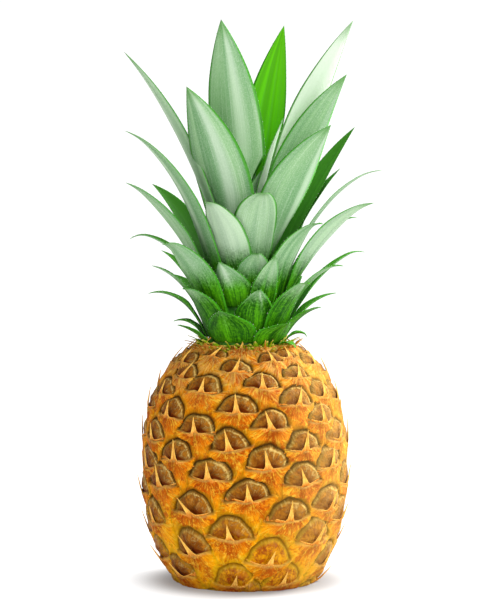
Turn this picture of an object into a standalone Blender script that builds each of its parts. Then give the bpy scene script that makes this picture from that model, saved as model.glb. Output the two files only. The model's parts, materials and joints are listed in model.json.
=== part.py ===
"""A whole pineapple standing on its cut base: the fruit, the crown's stem and every crown leaf.

Metres, +Z up. The origin is the centre of the flat base, on the fruit's axis, and -Y is its front.
Lengths below are in millimetres and angles in degrees, and MM and math.radians turn them over.
"""

import math
from collections import namedtuple

import bmesh
import bpy
import numpy as np
from mathutils import Vector

MM = 0.001

# Fruit: a barrel made of two superellipses that meet at its widest height.
FRUIT_HEIGHT = 148.0
FRUIT_RADIUS = 62.4
WIDEST_HEIGHT = 69.5
SHOULDER_REACH = 82.0  # widest height up to the upper superellipse's pole
SHOULDER_POWER = 2.5
FOOT_REACH = 92.3  # widest height down to the lower superellipse's pole
FOOT_POWER = 2.05

# Eyes: each is DIVERGENCE of a turn on from the one below it, so 8 shallow and 13 steep spirals show.
DIVERGENCE = 0.3826
SHALLOW, STEEP = 8, 13
EYE_RISE_FOOT = 2.1  # climb along the side from one eye to the next, at the base
EYE_RISE_TOP = 1.2  # and at the shoulder, where the eyes are smaller
FIRST_EYE_TURN = 5.1  # the lowest eye's turn from the front, to the right
EYE_STEPS = 4  # faces along each side of an eye
NET_MARGIN = 12.0  # how far the net of eyes runs past the base before it is cut level
MERIDIAN_STEPS = 4001
EYE_BULGE = 2.2
BULGE_POWER = 2.5  # above 2, an eye is flat in its middle and steep at its edges
BRACT_RISE = 1.2  # how far the dry bract's point stands out at each eye's middle
BRACT_SHARE = 0.4  # share of an eye that the bract's point covers
GROOVE_DEPTH = 1.4
GROOVE_POWER = 6.0  # the higher it is, the narrower the grooves between eyes

# Crown stem: the solid cone of packed leaf bases, with a round top, set on the fruit.
GAP = 0.3
STEM_OUTLINE = ((0, 22.5), (12, 22.5), (36, 19), (62, 12), (86, 4))  # rise and radius
STEM_SIDES = 20
STEM_TIP_RISE = 3.0
STEM_TIP_SHARE = 0.6  # radius of the ring that rounds the stem's top, as a share of the top's
STEM_TIP_RING = 0.8  # and its height as a share of the tip's rise

# Leaf blades.
FIRST_LEAF_RISE = 1.0
LAST_LEAF_RISE = 82.0
CROWDING = 2.2  # power by which the leaves crowd towards the stem's foot
ORDER_RISE = 12.0  # where a leaf's slope is measured from, to find its place up the stem
LEAF_THICKNESS = 1.2
TIP_THICKNESS = 0.6
FOOT_WIDTH = 0.8  # share of the blade's full width at its foot
MOST_WRAP = 52.0  # how far round the stem a foot may reach on each side
WIDEST_SHARE = 0.35  # share of the blade's length at its widest
TAPER_POWER = 2.0
CHANNEL_HALF_ANGLE = 34.0  # how far a free blade curls up on each side
WRAPPED_UNTIL = 0.1  # share of the length up to which a blade follows the stem's round
FREE_FROM = 0.5  # share of the length past which it has its own curl alone
ARCH_POWER = 1.8  # above 1, a blade bends most near its tip
SWAY_POWER = 1.5  # above 1, a blade sways aside most near its tip
BLADE_STATIONS = 8
BLADE_STRIPS = 4  # faces across the blade
SPINE_STEPS = 64

# turn: the way the leaf's tip points, from the front round to the right. reach and rise: its tip,
# out from the axis and up from the fruit's top. arch: how far it bends outwards along its length.
# sway: how far its tip has turned past its foot.
Leaf = namedtuple("Leaf", "turn reach rise width arch sway", defaults=(0,))
LEAVES = (
    # front, from the lowest scale up
    Leaf(43, 40, 16, 25, 15, 4),
    Leaf(-24, 38, 24, 30, 10, -5),
    Leaf(14, 37, 37, 24, 15),
    Leaf(-25, 38, 54, 24, 15, -10),
    Leaf(12, 37, 59, 23, 20),
    Leaf(25, 44, 58, 18, 10),
    Leaf(-31, 46, 91, 28, 20, -8),
    Leaf(14, 48, 97, 30, 35),
    Leaf(50, 68, 138, 34, 20, 5),
    Leaf(-41, 54, 161, 40, 15, -4),
    Leaf(-28, 31, 201, 42, 8, -4),
    # left, from the lowest hook up
    Leaf(-98, 45, 13, 12, 80),
    Leaf(-72, 44, 13, 13, 25),
    Leaf(-50, 50, 37, 26, 38),
    Leaf(-90, 60, 31, 15, 80),
    Leaf(-84, 58, 49, 18, 50),
    Leaf(-122, 62, 55, 16, 40),
    Leaf(-94, 72, 64, 18, 80),
    Leaf(-50, 66, 65, 27, 35),
    Leaf(-78, 75, 101, 22, 25),
    Leaf(-115, 64, 97, 20, 35),
    Leaf(-65, 81, 134, 28, 38),
    Leaf(-82, 75, 181, 24, 20),
    # right, from the lowest hook up
    Leaf(60, 36, -1, 8, 75),
    Leaf(88, 38, 4, 10, 90),
    Leaf(74, 49, 24, 18, 45),
    Leaf(104, 59, 30, 13, 50),
    Leaf(49, 53, 40, 24, 25),
    Leaf(80, 62, 49, 20, 55),
    Leaf(103, 77, 55, 14, 40),
    Leaf(54, 59, 77, 28, 45),
    Leaf(83, 80, 88, 22, 40),
    Leaf(93, 85, 107, 16, 50),
    Leaf(100, 60, 108, 20, 20),
    Leaf(106, 71, 133, 24, 15),
    Leaf(62, 70, 168, 30, 20),
    Leaf(76, 68, 200, 26, 12),
    # back, from the lowest up
    Leaf(-150, 40, 14, 22, 30),
    Leaf(165, 42, 18, 24, 35),
    Leaf(128, 45, 16, 18, 50),
    Leaf(-172, 46, 32, 26, 30),
    Leaf(139, 55, 38, 23, 35),
    Leaf(-125, 54, 40, 22, 35),
    Leaf(178, 60, 58, 28, 35),
    Leaf(-145, 67, 70, 26, 35),
    Leaf(150, 69, 72, 26, 35),
    Leaf(112, 76, 76, 20, 45),
    Leaf(-172, 77, 98, 30, 35),
    Leaf(138, 80, 106, 26, 30),
    Leaf(168, 70, 134, 30, 20),
    Leaf(-133, 53, 126, 26, 20),
    Leaf(-155, 46, 156, 30, 12),
    Leaf(148, 46, 195, 35, 8),
    Leaf(-110, 30, 150, 26, 6),
    Leaf(80, 24, 140, 24, 5),
)

SKIN_COLOUR = (0.62, 0.24, 0.03, 1)
STEM_COLOUR = (0.45, 0.55, 0.25, 1)
LEAF_COLOUR = (0.30, 0.52, 0.22, 1)


def clear_scene():
    for thing in list(bpy.data.objects):
        bpy.data.objects.remove(thing)


def finish_of(name, colour, roughness):
    material = bpy.data.materials.new(name)
    material.use_nodes = True
    shader = material.node_tree.nodes["Principled BSDF"]
    shader.inputs["Base Color"].default_value = colour
    shader.inputs["Roughness"].default_value = roughness
    shader.inputs["Metallic"].default_value = 0.0
    return material


def object_from(name, mesh_maker, material):
    """A named object whose mesh is the bmesh made, with faces facing out and smooth sides."""
    bmesh.ops.recalc_face_normals(mesh_maker, faces=mesh_maker.faces)
    mesh = bpy.data.meshes.new(name)
    mesh_maker.to_mesh(mesh)
    mesh_maker.free()
    mesh.shade_smooth()
    mesh.set_sharp_from_angle(angle=math.radians(50))
    mesh.materials.append(material)
    made = bpy.data.objects.new(name, mesh)
    bpy.context.scene.collection.objects.link(made)
    return made


# ---------------------------------------------------------------- fruit


def fruit_radius(height):
    """The barrel's radius at a height, or 0 past a pole."""
    above = height >= WIDEST_HEIGHT
    reach, power = (SHOULDER_REACH, SHOULDER_POWER) if above else (FOOT_REACH, FOOT_POWER)
    share = min(1.0, abs(height - WIDEST_HEIGHT) / reach)
    return FRUIT_RADIUS * (1 - share**power) ** (1 / power)


def meridian_table():
    """Heights and radii along the barrel's side, and how many eyes up from the base each one is."""
    heights = np.linspace(WIDEST_HEIGHT - FOOT_REACH, WIDEST_HEIGHT + SHOULDER_REACH, MERIDIAN_STEPS)
    radii = np.array([fruit_radius(h) for h in heights])
    run = np.hypot(np.diff(heights), np.diff(radii))
    middle = np.clip((heights[1:] + heights[:-1]) / 2 / FRUIT_HEIGHT, 0, 1)
    rise = EYE_RISE_FOOT + (EYE_RISE_TOP - EYE_RISE_FOOT) * middle
    eyes = np.concatenate([[0.0], np.cumsum(run / rise)])
    return heights, radii, eyes - np.interp(0.0, heights, eyes)


def wrapped(value):
    """The value less its nearest whole number."""
    return (value + 0.5) % 1 - 0.5


def eye_relief(across, up):
    """How far the skin stands out at a place in an eye: both run from -0.5 to 0.5 along its sides."""
    edge = max(abs(across), abs(up)) * 2
    dome = EYE_BULGE * (1 - edge**BULGE_POWER)
    bract = BRACT_RISE * max(0.0, 1 - edge / BRACT_SHARE)
    return dome + bract - GROOVE_DEPTH * edge**GROOVE_POWER


def fruit_mesh():
    """The barrel's side as one net of eyes, cut level at both ends and capped."""
    heights, radii, eyes = meridian_table()
    around = STEEP * EYE_STEPS
    drop = SHALLOW * EYE_STEPS
    shallow_turn = -wrapped(SHALLOW * DIVERGENCE)
    steep_turn = -wrapped(STEEP * DIVERGENCE)
    shape = bmesh.new()
    found = {}

    def corner(i, j):
        """The net's point i steps along a shallow spiral and j along a steep one."""
        lap, i = divmod(i, around)
        j += lap * drop
        if (i, j) not in found:
            p, q = i / EYE_STEPS, j / EYE_STEPS
            place = SHALLOW * p + STEEP * q
            height = float(np.interp(place, eyes, heights))
            radius = float(np.interp(place, eyes, radii))
            lean = fruit_radius(height + 0.5) - fruit_radius(height - 0.5)
            out = Vector((1, 0, -lean)).normalized() * eye_relief(wrapped(p), wrapped(q))
            radius, height = radius + out.x, height + out.z
            angle = 2 * math.pi * (shallow_turn * p + steep_turn * q) + math.radians(FIRST_EYE_TURN)
            found[i, j] = shape.verts.new(
                (radius * math.sin(angle) * MM, -radius * math.cos(angle) * MM, height * MM)
            )
        return found[i, j]

    low, high = np.interp([-NET_MARGIN, FRUIT_HEIGHT + NET_MARGIN / 2], heights, eyes)
    for i in range(around):
        first = math.ceil((low * EYE_STEPS - SHALLOW * i) / STEEP)
        last = math.floor((high * EYE_STEPS - SHALLOW * i) / STEEP)
        for j in range(first, last):
            shape.faces.new([corner(i, j), corner(i + 1, j), corner(i + 1, j + 1), corner(i, j + 1)])
    for height, way in ((0.0, -1), (FRUIT_HEIGHT, 1)):
        everything = shape.verts[:] + shape.edges[:] + shape.faces[:]
        cut = bmesh.ops.bisect_plane(
            shape, geom=everything, dist=1e-6, plane_co=(0, 0, height * MM),
            plane_no=(0, 0, way), clear_outer=True,
        )
        rim = [e for e in cut["geom_cut"] if isinstance(e, bmesh.types.BMEdge)]
        bmesh.ops.holes_fill(shape, edges=rim, sides=0)
    return shape


# ---------------------------------------------------------------- crown stem


def stem_radius(rise):
    return float(np.interp(rise, *zip(*STEM_OUTLINE)))


def stem_mesh():
    """The cone's outline turned round the axis, with a low rounded top."""
    foot = FRUIT_HEIGHT + GAP
    top_rise, top_radius = STEM_OUTLINE[-1]
    tip_ring = (top_rise + STEM_TIP_RISE * STEM_TIP_RING, top_radius * STEM_TIP_SHARE)
    outline = STEM_OUTLINE + (tip_ring,)
    turns = [2 * math.pi * k / STEM_SIDES for k in range(STEM_SIDES)]
    shape = bmesh.new()
    rings = [
        [
            shape.verts.new((radius * math.cos(a) * MM, radius * math.sin(a) * MM, (foot + rise) * MM))
            for a in turns
        ]
        for rise, radius in outline
    ]
    for lower, upper in zip(rings, rings[1:]):
        for k in range(STEM_SIDES):
            n = (k + 1) % STEM_SIDES
            shape.faces.new([lower[k], lower[n], upper[n], upper[k]])
    shape.faces.new(rings[0][::-1])
    tip = shape.verts.new((0, 0, (foot + top_rise + STEM_TIP_RISE) * MM))
    for k in range(STEM_SIDES):
        shape.faces.new([rings[-1][k], rings[-1][(k + 1) % STEM_SIDES], tip])
    return shape


# ---------------------------------------------------------------- leaves


def uprightness(leaf):
    """How upright a leaf stands, which is the order that leaves grow in up the stem."""
    return -math.atan2(leaf.reach, leaf.rise - ORDER_RISE)


def spine(leaf, foot_rise):
    """(out, up, lean) arrays along a leaf's middle line, in its own upright plane."""
    t = np.linspace(0, 1, SPINE_STEPS + 1)
    bend = math.radians(leaf.arch) * t**ARCH_POWER

    def summed(values):
        return np.concatenate([[0.0], np.cumsum((values[1:] + values[:-1]) / 2) / SPINE_STEPS])

    out, up = summed(np.sin(bend)), summed(np.cos(bend))
    foot_out = stem_radius(foot_rise) + GAP + LEAF_THICKNESS / 2
    go_out, go_up = leaf.reach - foot_out, leaf.rise - foot_rise
    length = math.hypot(go_out, go_up) / math.hypot(out[-1], up[-1])
    lean = math.atan2(go_out, go_up) - math.atan2(out[-1], up[-1])
    c, s = math.cos(lean), math.sin(lean)
    return foot_out + length * (out * c + up * s), foot_rise + length * (up * c - out * s), lean + bend


def blade_width(t):
    """A blade's width at a share t of its length, as a share of its full width."""
    if t < WIDEST_SHARE:
        return 1 - (1 - FOOT_WIDTH) * ((WIDEST_SHARE - t) / WIDEST_SHARE) ** 2
    return 1 - ((t - WIDEST_SHARE) / (1 - WIDEST_SHARE)) ** TAPER_POWER


def smooth(x):
    x = min(1.0, max(0.0, x))
    return x * x * (3 - 2 * x)


def leaf_mesh(leaf, foot_rise):
    """A channelled blade, thick along its middle and thin at its margins, closed at its foot."""
    out, up, lean = spine(leaf, foot_rise)
    above = Vector((0, 0, 1))
    shape = bmesh.new()
    sections = []
    for station in range(BLADE_STATIONS + 1):
        t = station / BLADE_STATIONS
        at = round(t * SPINE_STEPS)
        turn = math.radians(leaf.turn - leaf.sway * (1 - t**SWAY_POWER))
        ahead = Vector((math.sin(turn), -math.cos(turn), 0))
        aside = Vector((math.cos(turn), math.sin(turn), 0))
        middle = ahead * out[at] + above * (up[at] + FRUIT_HEIGHT)
        if station == BLADE_STATIONS:
            tip = shape.verts.new(middle * MM)
            break
        width = leaf.width * blade_width(t)
        free = smooth((t - WRAPPED_UNTIL) / (FREE_FROM - WRAPPED_UNTIL))
        own = width / 2 / math.radians(CHANNEL_HALF_ANGLE)
        bend_radius = out[at] + (min(out[at], own) - out[at]) * free
        inward = (-ahead).lerp(-ahead * math.cos(lean[at]) + above * math.sin(lean[at]), free).normalized()
        half_angle = min(width / 2 / bend_radius, math.radians(MOST_WRAP))
        thickness = LEAF_THICKNESS + (TIP_THICKNESS - LEAF_THICKNESS) * t
        outer, inner = [], []
        for strip in range(BLADE_STRIPS + 1):
            u = 2 * strip / BLADE_STRIPS - 1
            angle = u * half_angle
            place = middle + aside * bend_radius * math.sin(angle)
            place += inward * bend_radius * (1 - math.cos(angle))
            normal = inward * math.cos(angle) - aside * math.sin(angle)
            half = thickness / 2 * math.sqrt(1 - u * u)
            outer.append(shape.verts.new((place - normal * half) * MM))
            if 0 < strip < BLADE_STRIPS:
                inner.append(shape.verts.new((place + normal * half) * MM))
        sections.append(outer + inner[::-1])
    for lower, upper in zip(sections, sections[1:]):
        for k in range(len(lower)):
            n = (k + 1) % len(lower)
            shape.faces.new([lower[k], lower[n], upper[n], upper[k]])
    shape.faces.new(sections[0][::-1])
    last = sections[-1]
    for k in range(len(last)):
        shape.faces.new([last[k], last[(k + 1) % len(last)], tip])
    return shape


def main():
    clear_scene()
    skin = finish_of("fruit_skin", SKIN_COLOUR, 0.5)
    flesh = finish_of("crown_stem", STEM_COLOUR, 0.6)
    blade = finish_of("crown_leaf", LEAF_COLOUR, 0.45)
    object_from("fruit", fruit_mesh(), skin)
    object_from("crown_stem", stem_mesh(), flesh)
    order = sorted(LEAVES, key=uprightness)
    for number, leaf in enumerate(order, 1):
        share = ((number - 1) / (len(order) - 1)) ** CROWDING
        foot_rise = FIRST_LEAF_RISE + (LAST_LEAF_RISE - FIRST_LEAF_RISE) * share
        object_from(f"crown_leaf_{number:02d}", leaf_mesh(leaf, foot_rise), blade)


main()
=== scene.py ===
"""The looks of a whole pineapple: rind, dry bracts, collar, crown of leaves, and a plain stage.

It is laid out as a Blender add-on and is run as a script. Metres, +Z up, the fruit's axis on Z and its
base on the floor, with -Y its front. Sizes below are in millimetres unless they say otherwise, and MM
makes metres of them. A "turn" is an angle round the axis from the front, positive to the right.
A "side" is a length up the fruit's side from its base.
"""

import json
import math
from collections import namedtuple

import bpy
import numpy as np
from bpy.props import FloatProperty, FloatVectorProperty, IntProperty, PointerProperty
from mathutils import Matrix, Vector

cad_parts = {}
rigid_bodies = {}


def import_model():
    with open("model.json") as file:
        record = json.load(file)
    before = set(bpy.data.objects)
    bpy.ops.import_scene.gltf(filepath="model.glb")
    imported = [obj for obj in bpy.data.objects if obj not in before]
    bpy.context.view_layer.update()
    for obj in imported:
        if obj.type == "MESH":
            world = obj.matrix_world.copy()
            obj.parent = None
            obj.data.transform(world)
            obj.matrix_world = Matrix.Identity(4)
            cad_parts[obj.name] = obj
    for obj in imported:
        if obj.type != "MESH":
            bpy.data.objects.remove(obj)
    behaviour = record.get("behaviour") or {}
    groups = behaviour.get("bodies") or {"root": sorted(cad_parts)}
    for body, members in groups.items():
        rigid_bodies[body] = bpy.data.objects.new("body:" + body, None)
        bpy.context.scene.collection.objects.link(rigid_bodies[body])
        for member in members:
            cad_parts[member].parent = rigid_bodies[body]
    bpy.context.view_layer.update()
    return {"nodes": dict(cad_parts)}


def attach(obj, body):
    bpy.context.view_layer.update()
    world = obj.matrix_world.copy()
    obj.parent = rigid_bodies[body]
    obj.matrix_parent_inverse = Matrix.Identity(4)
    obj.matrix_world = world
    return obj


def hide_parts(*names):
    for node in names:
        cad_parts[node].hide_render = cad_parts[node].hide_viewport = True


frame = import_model()

bl_info = {
    "name": "Pineapple",
    "version": (1, 0, 0),
    "blender": (4, 5, 0),
    "location": "View3D > Sidebar > Pineapple",
    "description": "Makes the rind, bracts, crown leaves and stage of a whole pineapple",
    "category": "Object",
}

MM = 0.001
BODY = "root"
TAU = 2 * math.pi

# ---------------------------------------------------------------- sizes shared with the construction

FRUIT_HEIGHT = 148.0
FRUIT_RADIUS = 62.4
WIDEST_HEIGHT = 69.5
SHOULDER_REACH, SHOULDER_POWER = 82.0, 2.5
FOOT_REACH, FOOT_POWER = 92.3, 2.05
MERIDIAN_STEPS = 4001

DIVERGENCE = 0.3826  # each eye's share of a turn on from the one below it
EYE_RISE_FOOT, EYE_RISE_TOP = 2.1, 1.2  # climb along the side from one eye to the next
FIRST_EYE_TURN = math.radians(5.1)
FIRST_EYE_SIDE = -3.0

GAP = 0.3
STEM_OUTLINE = ((0, 22.5), (12, 22.5), (36, 19), (62, 12), (86, 4))  # rise and radius
FIRST_LEAF_RISE, LAST_LEAF_RISE = 1.0, 82.0
CROWDING = 2.2
ORDER_RISE = 12.0
LEAF_THICKNESS = 1.2
FOOT_WIDTH = 0.8
MOST_WRAP = math.radians(52)
WIDEST_SHARE = 0.35
CHANNEL_HALF_ANGLE = math.radians(34)
WRAPPED_UNTIL, FREE_FROM = 0.1, 0.5
ARCH_POWER = 1.8
SWAY_POWER = 1.5
SPINE_STEPS = 256

# Sizes of the leaves that only their looks have.
HOOKED_FROM, TWISTED_BY = 0.82, 0.7  # shares of a leaf's length
FOLD_DEPTH = 1.1  # depth of a sharp fold, in depths of the even channel
RIPPLE = 0.5  # how far a blade's edges wave
RIPPLES = (14, 22)  # fewest and most waves along an edge, as radians
FACES_TO_FOOT = 0.9  # a power that packs a leaf's faces towards its tip
TEETH_FROM, TEETH_UNTIL = 4, -2  # teeth start a quarter up a margin and stop two faces from its tip
TOOTH_LEAN = 0.8  # how far a tooth leans towards the leaf's tip

# turn, reach, rise, width, arch and sway set a leaf out as the construction does.
# keel: how sharply its middle is folded, from 0 to 1. crest: where across it that is, from -1 to 1.
# hook: how many degrees more its tip bends. twist: how far its outer face turns back towards the front.
# spread: its width as a share of its CAD solid's. blunt: a higher power makes a rounder end.
# open: how far it has flattened since it left the stem, from 0 to 1. bloom: how pale its outer face is.
# shine: how strong the painted highlight along its crest is. vivid: how bright its inner face's green is:
# painted backlight, and the brighter green of a young leaf.
Leaf = namedtuple(
    "Leaf", "turn reach rise width arch sway keel crest hook twist spread blunt open bloom shine vivid",
    defaults=(0, 0.15, 0.0, 0, 0, 1.0, 2.0, 0.0, 0.0, 0.3, 0.35),
)
LEAVES = (
    # front, from the lowest scale up
    Leaf(43, 40, 16, 25, 15, 4, keel=0.6, spread=1.1, blunt=1.4),
    Leaf(-24, 38, 24, 30, 10, -5, keel=0.6, crest=-0.3, spread=1.1, blunt=1.4),
    Leaf(14, 37, 37, 24, 15, keel=1.0, hook=20, spread=1.1, blunt=1.4, shine=0.7),
    Leaf(-25, 38, 54, 24, 15, -10, keel=0.9, crest=-0.35, spread=1.08, blunt=1.6, shine=0.9),
    Leaf(12, 37, 59, 23, 20, keel=0.9, crest=0.3, hook=25, shine=0.6),
    Leaf(25, 44, 58, 18, 10, keel=0.5),
    Leaf(-31, 46, 91, 28, 20, -8, keel=0.1, hook=25, blunt=2.5, bloom=0.4, shine=0.2),
    Leaf(14, 48, 97, 30, 35, keel=0.0, hook=15, blunt=3.0, bloom=0.15, shine=0.1),
    Leaf(50, 68, 138, 34, 20, 5, keel=0.9, crest=0.35, twist=25, shine=0.7),
    Leaf(-41, 54, 161, 40, 15, -4, keel=0.45, twist=15, shine=0.9),
    Leaf(-28, 31, 201, 42, 8, 4, keel=0.45, twist=10, spread=0.92, blunt=2.1, open=1.0, shine=0.8),
    # left, from the lowest hook up
    Leaf(-98, 45, 13, 12, 80),
    Leaf(-72, 44, 13, 13, 25),
    Leaf(-50, 50, 37, 26, 38, keel=0.3, hook=25),
    Leaf(-90, 60, 31, 15, 80),
    Leaf(-84, 58, 49, 18, 50),
    Leaf(-122, 62, 55, 16, 40),
    Leaf(-94, 72, 64, 18, 80, hook=30),
    Leaf(-50, 66, 65, 27, 35, keel=0.3, hook=35, twist=15),
    Leaf(-78, 75, 101, 22, 25, keel=0.3, hook=10, twist=14),
    Leaf(-115, 64, 97, 20, 35, twist=-35, spread=0.8, vivid=0.1),
    Leaf(-65, 81, 134, 28, 38, keel=0.5, crest=-0.2, hook=10, twist=-4, spread=0.92, shine=0.6),
    Leaf(-82, 75, 181, 24, 20, crest=-0.3, twist=12, bloom=0.2, shine=0.7),
    # right, from the lowest hook up
    Leaf(60, 36, -1, 8, 75),
    Leaf(88, 38, 4, 10, 90, hook=40),
    Leaf(74, 49, 24, 18, 45, keel=0.3),
    Leaf(104, 59, 30, 13, 50),
    Leaf(49, 53, 40, 24, 25, keel=0.4, hook=50),
    Leaf(80, 62, 49, 20, 55, hook=20),
    Leaf(103, 77, 55, 14, 40, hook=30),
    Leaf(54, 59, 77, 28, 45, keel=0.6, crest=0.2, hook=30, shine=0.5),
    Leaf(83, 80, 88, 22, 40, hook=10, twist=30, bloom=0.25),
    Leaf(93, 85, 107, 16, 50, hook=15, twist=10, spread=0.85, bloom=0.3),
    Leaf(100, 60, 108, 20, 20, twist=-15, spread=0.75, vivid=0.1),
    Leaf(106, 71, 133, 24, 15, twist=-28, spread=0.8, vivid=0.15),
    Leaf(62, 70, 168, 30, 20, keel=0.5, crest=0.3, twist=40, shine=0.3),
    Leaf(76, 68, 200, 26, 12, keel=0.3, twist=50, bloom=0.85, shine=0.6),
    # back, from the lowest up
    Leaf(-150, 40, 14, 22, 30),
    Leaf(165, 42, 18, 24, 35),
    Leaf(128, 45, 16, 18, 50),
    Leaf(-172, 46, 32, 26, 30, keel=0.4),
    Leaf(139, 55, 38, 23, 35),
    Leaf(-125, 54, 40, 22, 35),
    Leaf(178, 60, 58, 28, 35, keel=0.4, shine=0.5),
    Leaf(-145, 67, 70, 26, 35),
    Leaf(150, 69, 72, 26, 35),
    Leaf(112, 76, 76, 20, 45, hook=20),
    Leaf(-172, 77, 98, 30, 35, keel=0.3, shine=0.5),
    Leaf(138, 80, 106, 26, 30),
    Leaf(168, 70, 134, 30, 20, keel=0.3, shine=0.6),
    Leaf(-133, 53, 126, 26, 20),
    Leaf(-155, 46, 156, 30, 12, shine=0.6),
    Leaf(148, 46, 195, 35, 8, vivid=1.0),
    Leaf(-110, 30, 150, 26, 6),
    Leaf(80, 24, 140, 24, 5, spread=0.7, bloom=0.8),
)

# Small upright leaves round the growing point, hidden by the others. Their feet share a rise.
HEART_LEAVES = (
    Leaf(60, 12, 108, 13, 10, keel=0.3, vivid=0.9), Leaf(130, 15, 114, 15, 10, keel=0.3, vivid=0.9),
    Leaf(-110, 14, 116, 15, 10, keel=0.3, vivid=0.9), Leaf(70, 8, 122, 11, 6, vivid=1.0),
    Leaf(-170, 8, 120, 11, 6, vivid=1.0), Leaf(-50, 7, 123, 11, 6, vivid=1.0),
)
HEART_FOOT_RISE = 84.0

# ---------------------------------------------------------------- sizes of the rind

# Shapes inside an eye, in the millimetres of an eye at the fruit's widest. The spike's foot is the
# eye's middle: the dome rises above it and its dry bract spreads below it.
DOME_HALF_WIDTH = 13.6
DOME_HEIGHT = 14.1
DOME_SKIRT = 6.0
DOME_MIDDLE = 5.5  # height of the dome's crown above the spike's foot
DOME_HALF_RISE = 8.8
WING_FOOT = 0.6  # height of the bract's free edge beside the spike
WING_CURVE = 0.011  # how fast that edge climbs towards the wing tips
BRACT_HALF_WIDTH = 17.0
BRACT_REACH = 17.0
BRACT_LEVEL = 0.9
GROOVE_LEVEL = -1.0

# Eyes at the front that the others have pushed out of line: number, then how far aside and up, and how
# many degrees the spike leans.
FRONT_EYES = {
    3: (-3.5, 6, -11), 5: (-6, -2.5, 6), 8: (7.5, -8.5, 16), 11: (-3, -0.5, -10), 13: (1, -2.5, 5),
    16: (4.5, -2.5, -25), 18: (1, 0, 12), 21: (-1.5, -0.5, -11), 23: (-4, 2.5, 0), 24: (-6, -0.5, 6),
    26: (2, 1.5, -9), 29: (-2, 0, -30), 31: (0, -3, 17), 34: (0, 0.5, -13), 36: (-7, 0.5, 0),
    37: (-4, 0.5, -3), 39: (2, 0.5, -12), 42: (-0.5, -0.5, -5), 44: (-9, 1, 6), 45: (2.5, -3, 0),
    47: (1.5, -1.5, -13), 50: (-0.5, -3.5, -5), 52: (-8, 0.5, 6), 55: (2, -3, -8), 57: (-7, -4, 0),
    58: (-1, -5.5, 0), 60: (-6, 2, -21), 63: (3, -5.5, 0), 65: (0, -3.5, -24), 68: (-4, 0.5, -8),
    71: (2.5, -8.5, 4), 73: (4, -3, 15), 76: (-6, 1.5, 6), 78: (-1.5, -6, 5), 79: (8, -6.5, 10),
    81: (3, -2, 2), 84: (-6, -0.5, 24), 86: (1.5, -3, 10), 89: (4.5, -1, 23), 94: (5.5, 0, -10),
    97: (2, 0.5, 31),
}
PUSH = (3.0, 2.2)  # how far the other eyes stray as a rule, aside and up
MOST_PUSH = 5.0
LEAN = 12.0  # how many degrees their spikes lean as a rule
TILT = 0.06  # how far an eye is turned in its place
EYE_WIDTHS, EYE_HEIGHTS = (0.93, 1.07), (0.98, 1.1)  # as shares of the even eye's
LOW_EYES_TALLER = 0.22
LEAST_EYE_RADIUS = 8.0  # keeps the eyes round the poles from being crowded to nothing
LOWEST_EYE, HIGHEST_EYE = -14, 120
CLEAR_AT = 0.06  # how far an eye must win a place for its dome to have its full shape there
FOLDS = ((4.4, 0.5), (2.7, 0.3), (1.7, 0.2))  # sizes of the rind's folds, and each one's share
WAVES = (  # size, waves round the fruit, climb for one radian and start, of the waves aside and up
    ((0.7, 7, 7, 0), (0.5, 17, -4, 2), (0.3, 31, 2.3, 4)),
    ((0.6, 9, -6, 1), (0.4, 19, 3.1, 5), (0.25, 37, -2.7, 0)),
)
OFF_THE_RIND = (0.0, -40.0)  # a place in no eye, which the base and the cap have
BASE_RINGS = (  # radius and height of rings across the base, from its rim to the stalk's scar
    (38.0, 0.0), (34.0, 0.0), (30.0, 0.5), (25.0, 1.4), (20.0, 2.0), (16.0, 2.2), (14.5, 0.8),
    (13.5, 0.4), (9.0, 0.5), (4.0, 0.6),
)
BRACT_GRID, SCALE_GRID = (23, 9), (4, 7)  # points across and along
SCALE_STAND = 0.2
BRACT_ROOT = 3.0  # how far a bract's sheet runs below its free edge, twice that at the spike
BRACT_STAND, BRACT_ROOT_STAND = 2.0, 0.4  # how far it stands out from the barrel, at its edge and root
LEAST_HEIGHT = 0.0003  # in metres, for the lowest bracts

# How much each kind of surface shines, as its shader's specular level, and how deep its fine relief is.
RIND_GLOSS, PAPER_GLOSS, LEAF_GLOSS = 0.05, 0.08, 0.12
RIND_BUMP, PAPER_BUMP, LEAF_BUMP = 2.6, 0.3, 0.25

# ---------------------------------------------------------------- sizes of the stage

FLOOR_RADIUS, FLOOR_CORNERS, FLOOR_DROP = 9000.0, 96, 0.05
# the floor's glow fades between these, as a painted shadow round the fruit's foot
SHADE_FROM, SHADE_UNTIL = 92.0, 46.0  # distances from the axis between which the floor stops glowing
FLOOR_GRAIN, FLOOR_GLOW, FLOOR_SHADE = ((grey,) * 3 for grey in (0.4, 0.95, 0.2))
KEY_LIGHT = (0.5, (0.75, 0.35, 0.75))  # size and place, in metres
FILL_LIGHT = (0.9, (0.35, -1.0, 0.65))
WHITE_TO_CAMERA = 1.05  # strength of the surround where the camera sees it


def paint(red, green, blue):
    """A colour given as screen values up to 255, as the linear shares that Blender's nodes take."""
    return tuple(
        value / 12.92 if value <= 0.04045 else ((value + 0.055) / 1.055) ** 2.4
        for value in (red / 255, green / 255, blue / 255)
    )


def colour(name, description, red, green, blue):
    return FloatVectorProperty(
        name=name, description=description, subtype="COLOR", size=3, min=0, max=1,
        default=paint(red, green, blue),
    )


def length(name, description, default):
    return FloatProperty(name=name, description=description, default=default, min=0.0, max=50.0)


def metres(name, description, default):
    return FloatProperty(
        name=name, description=description, subtype="DISTANCE", unit="LENGTH", default=default
    )


def count(name, description, default):
    return IntProperty(name=name, description=description, default=default, min=3, max=2000)


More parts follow.
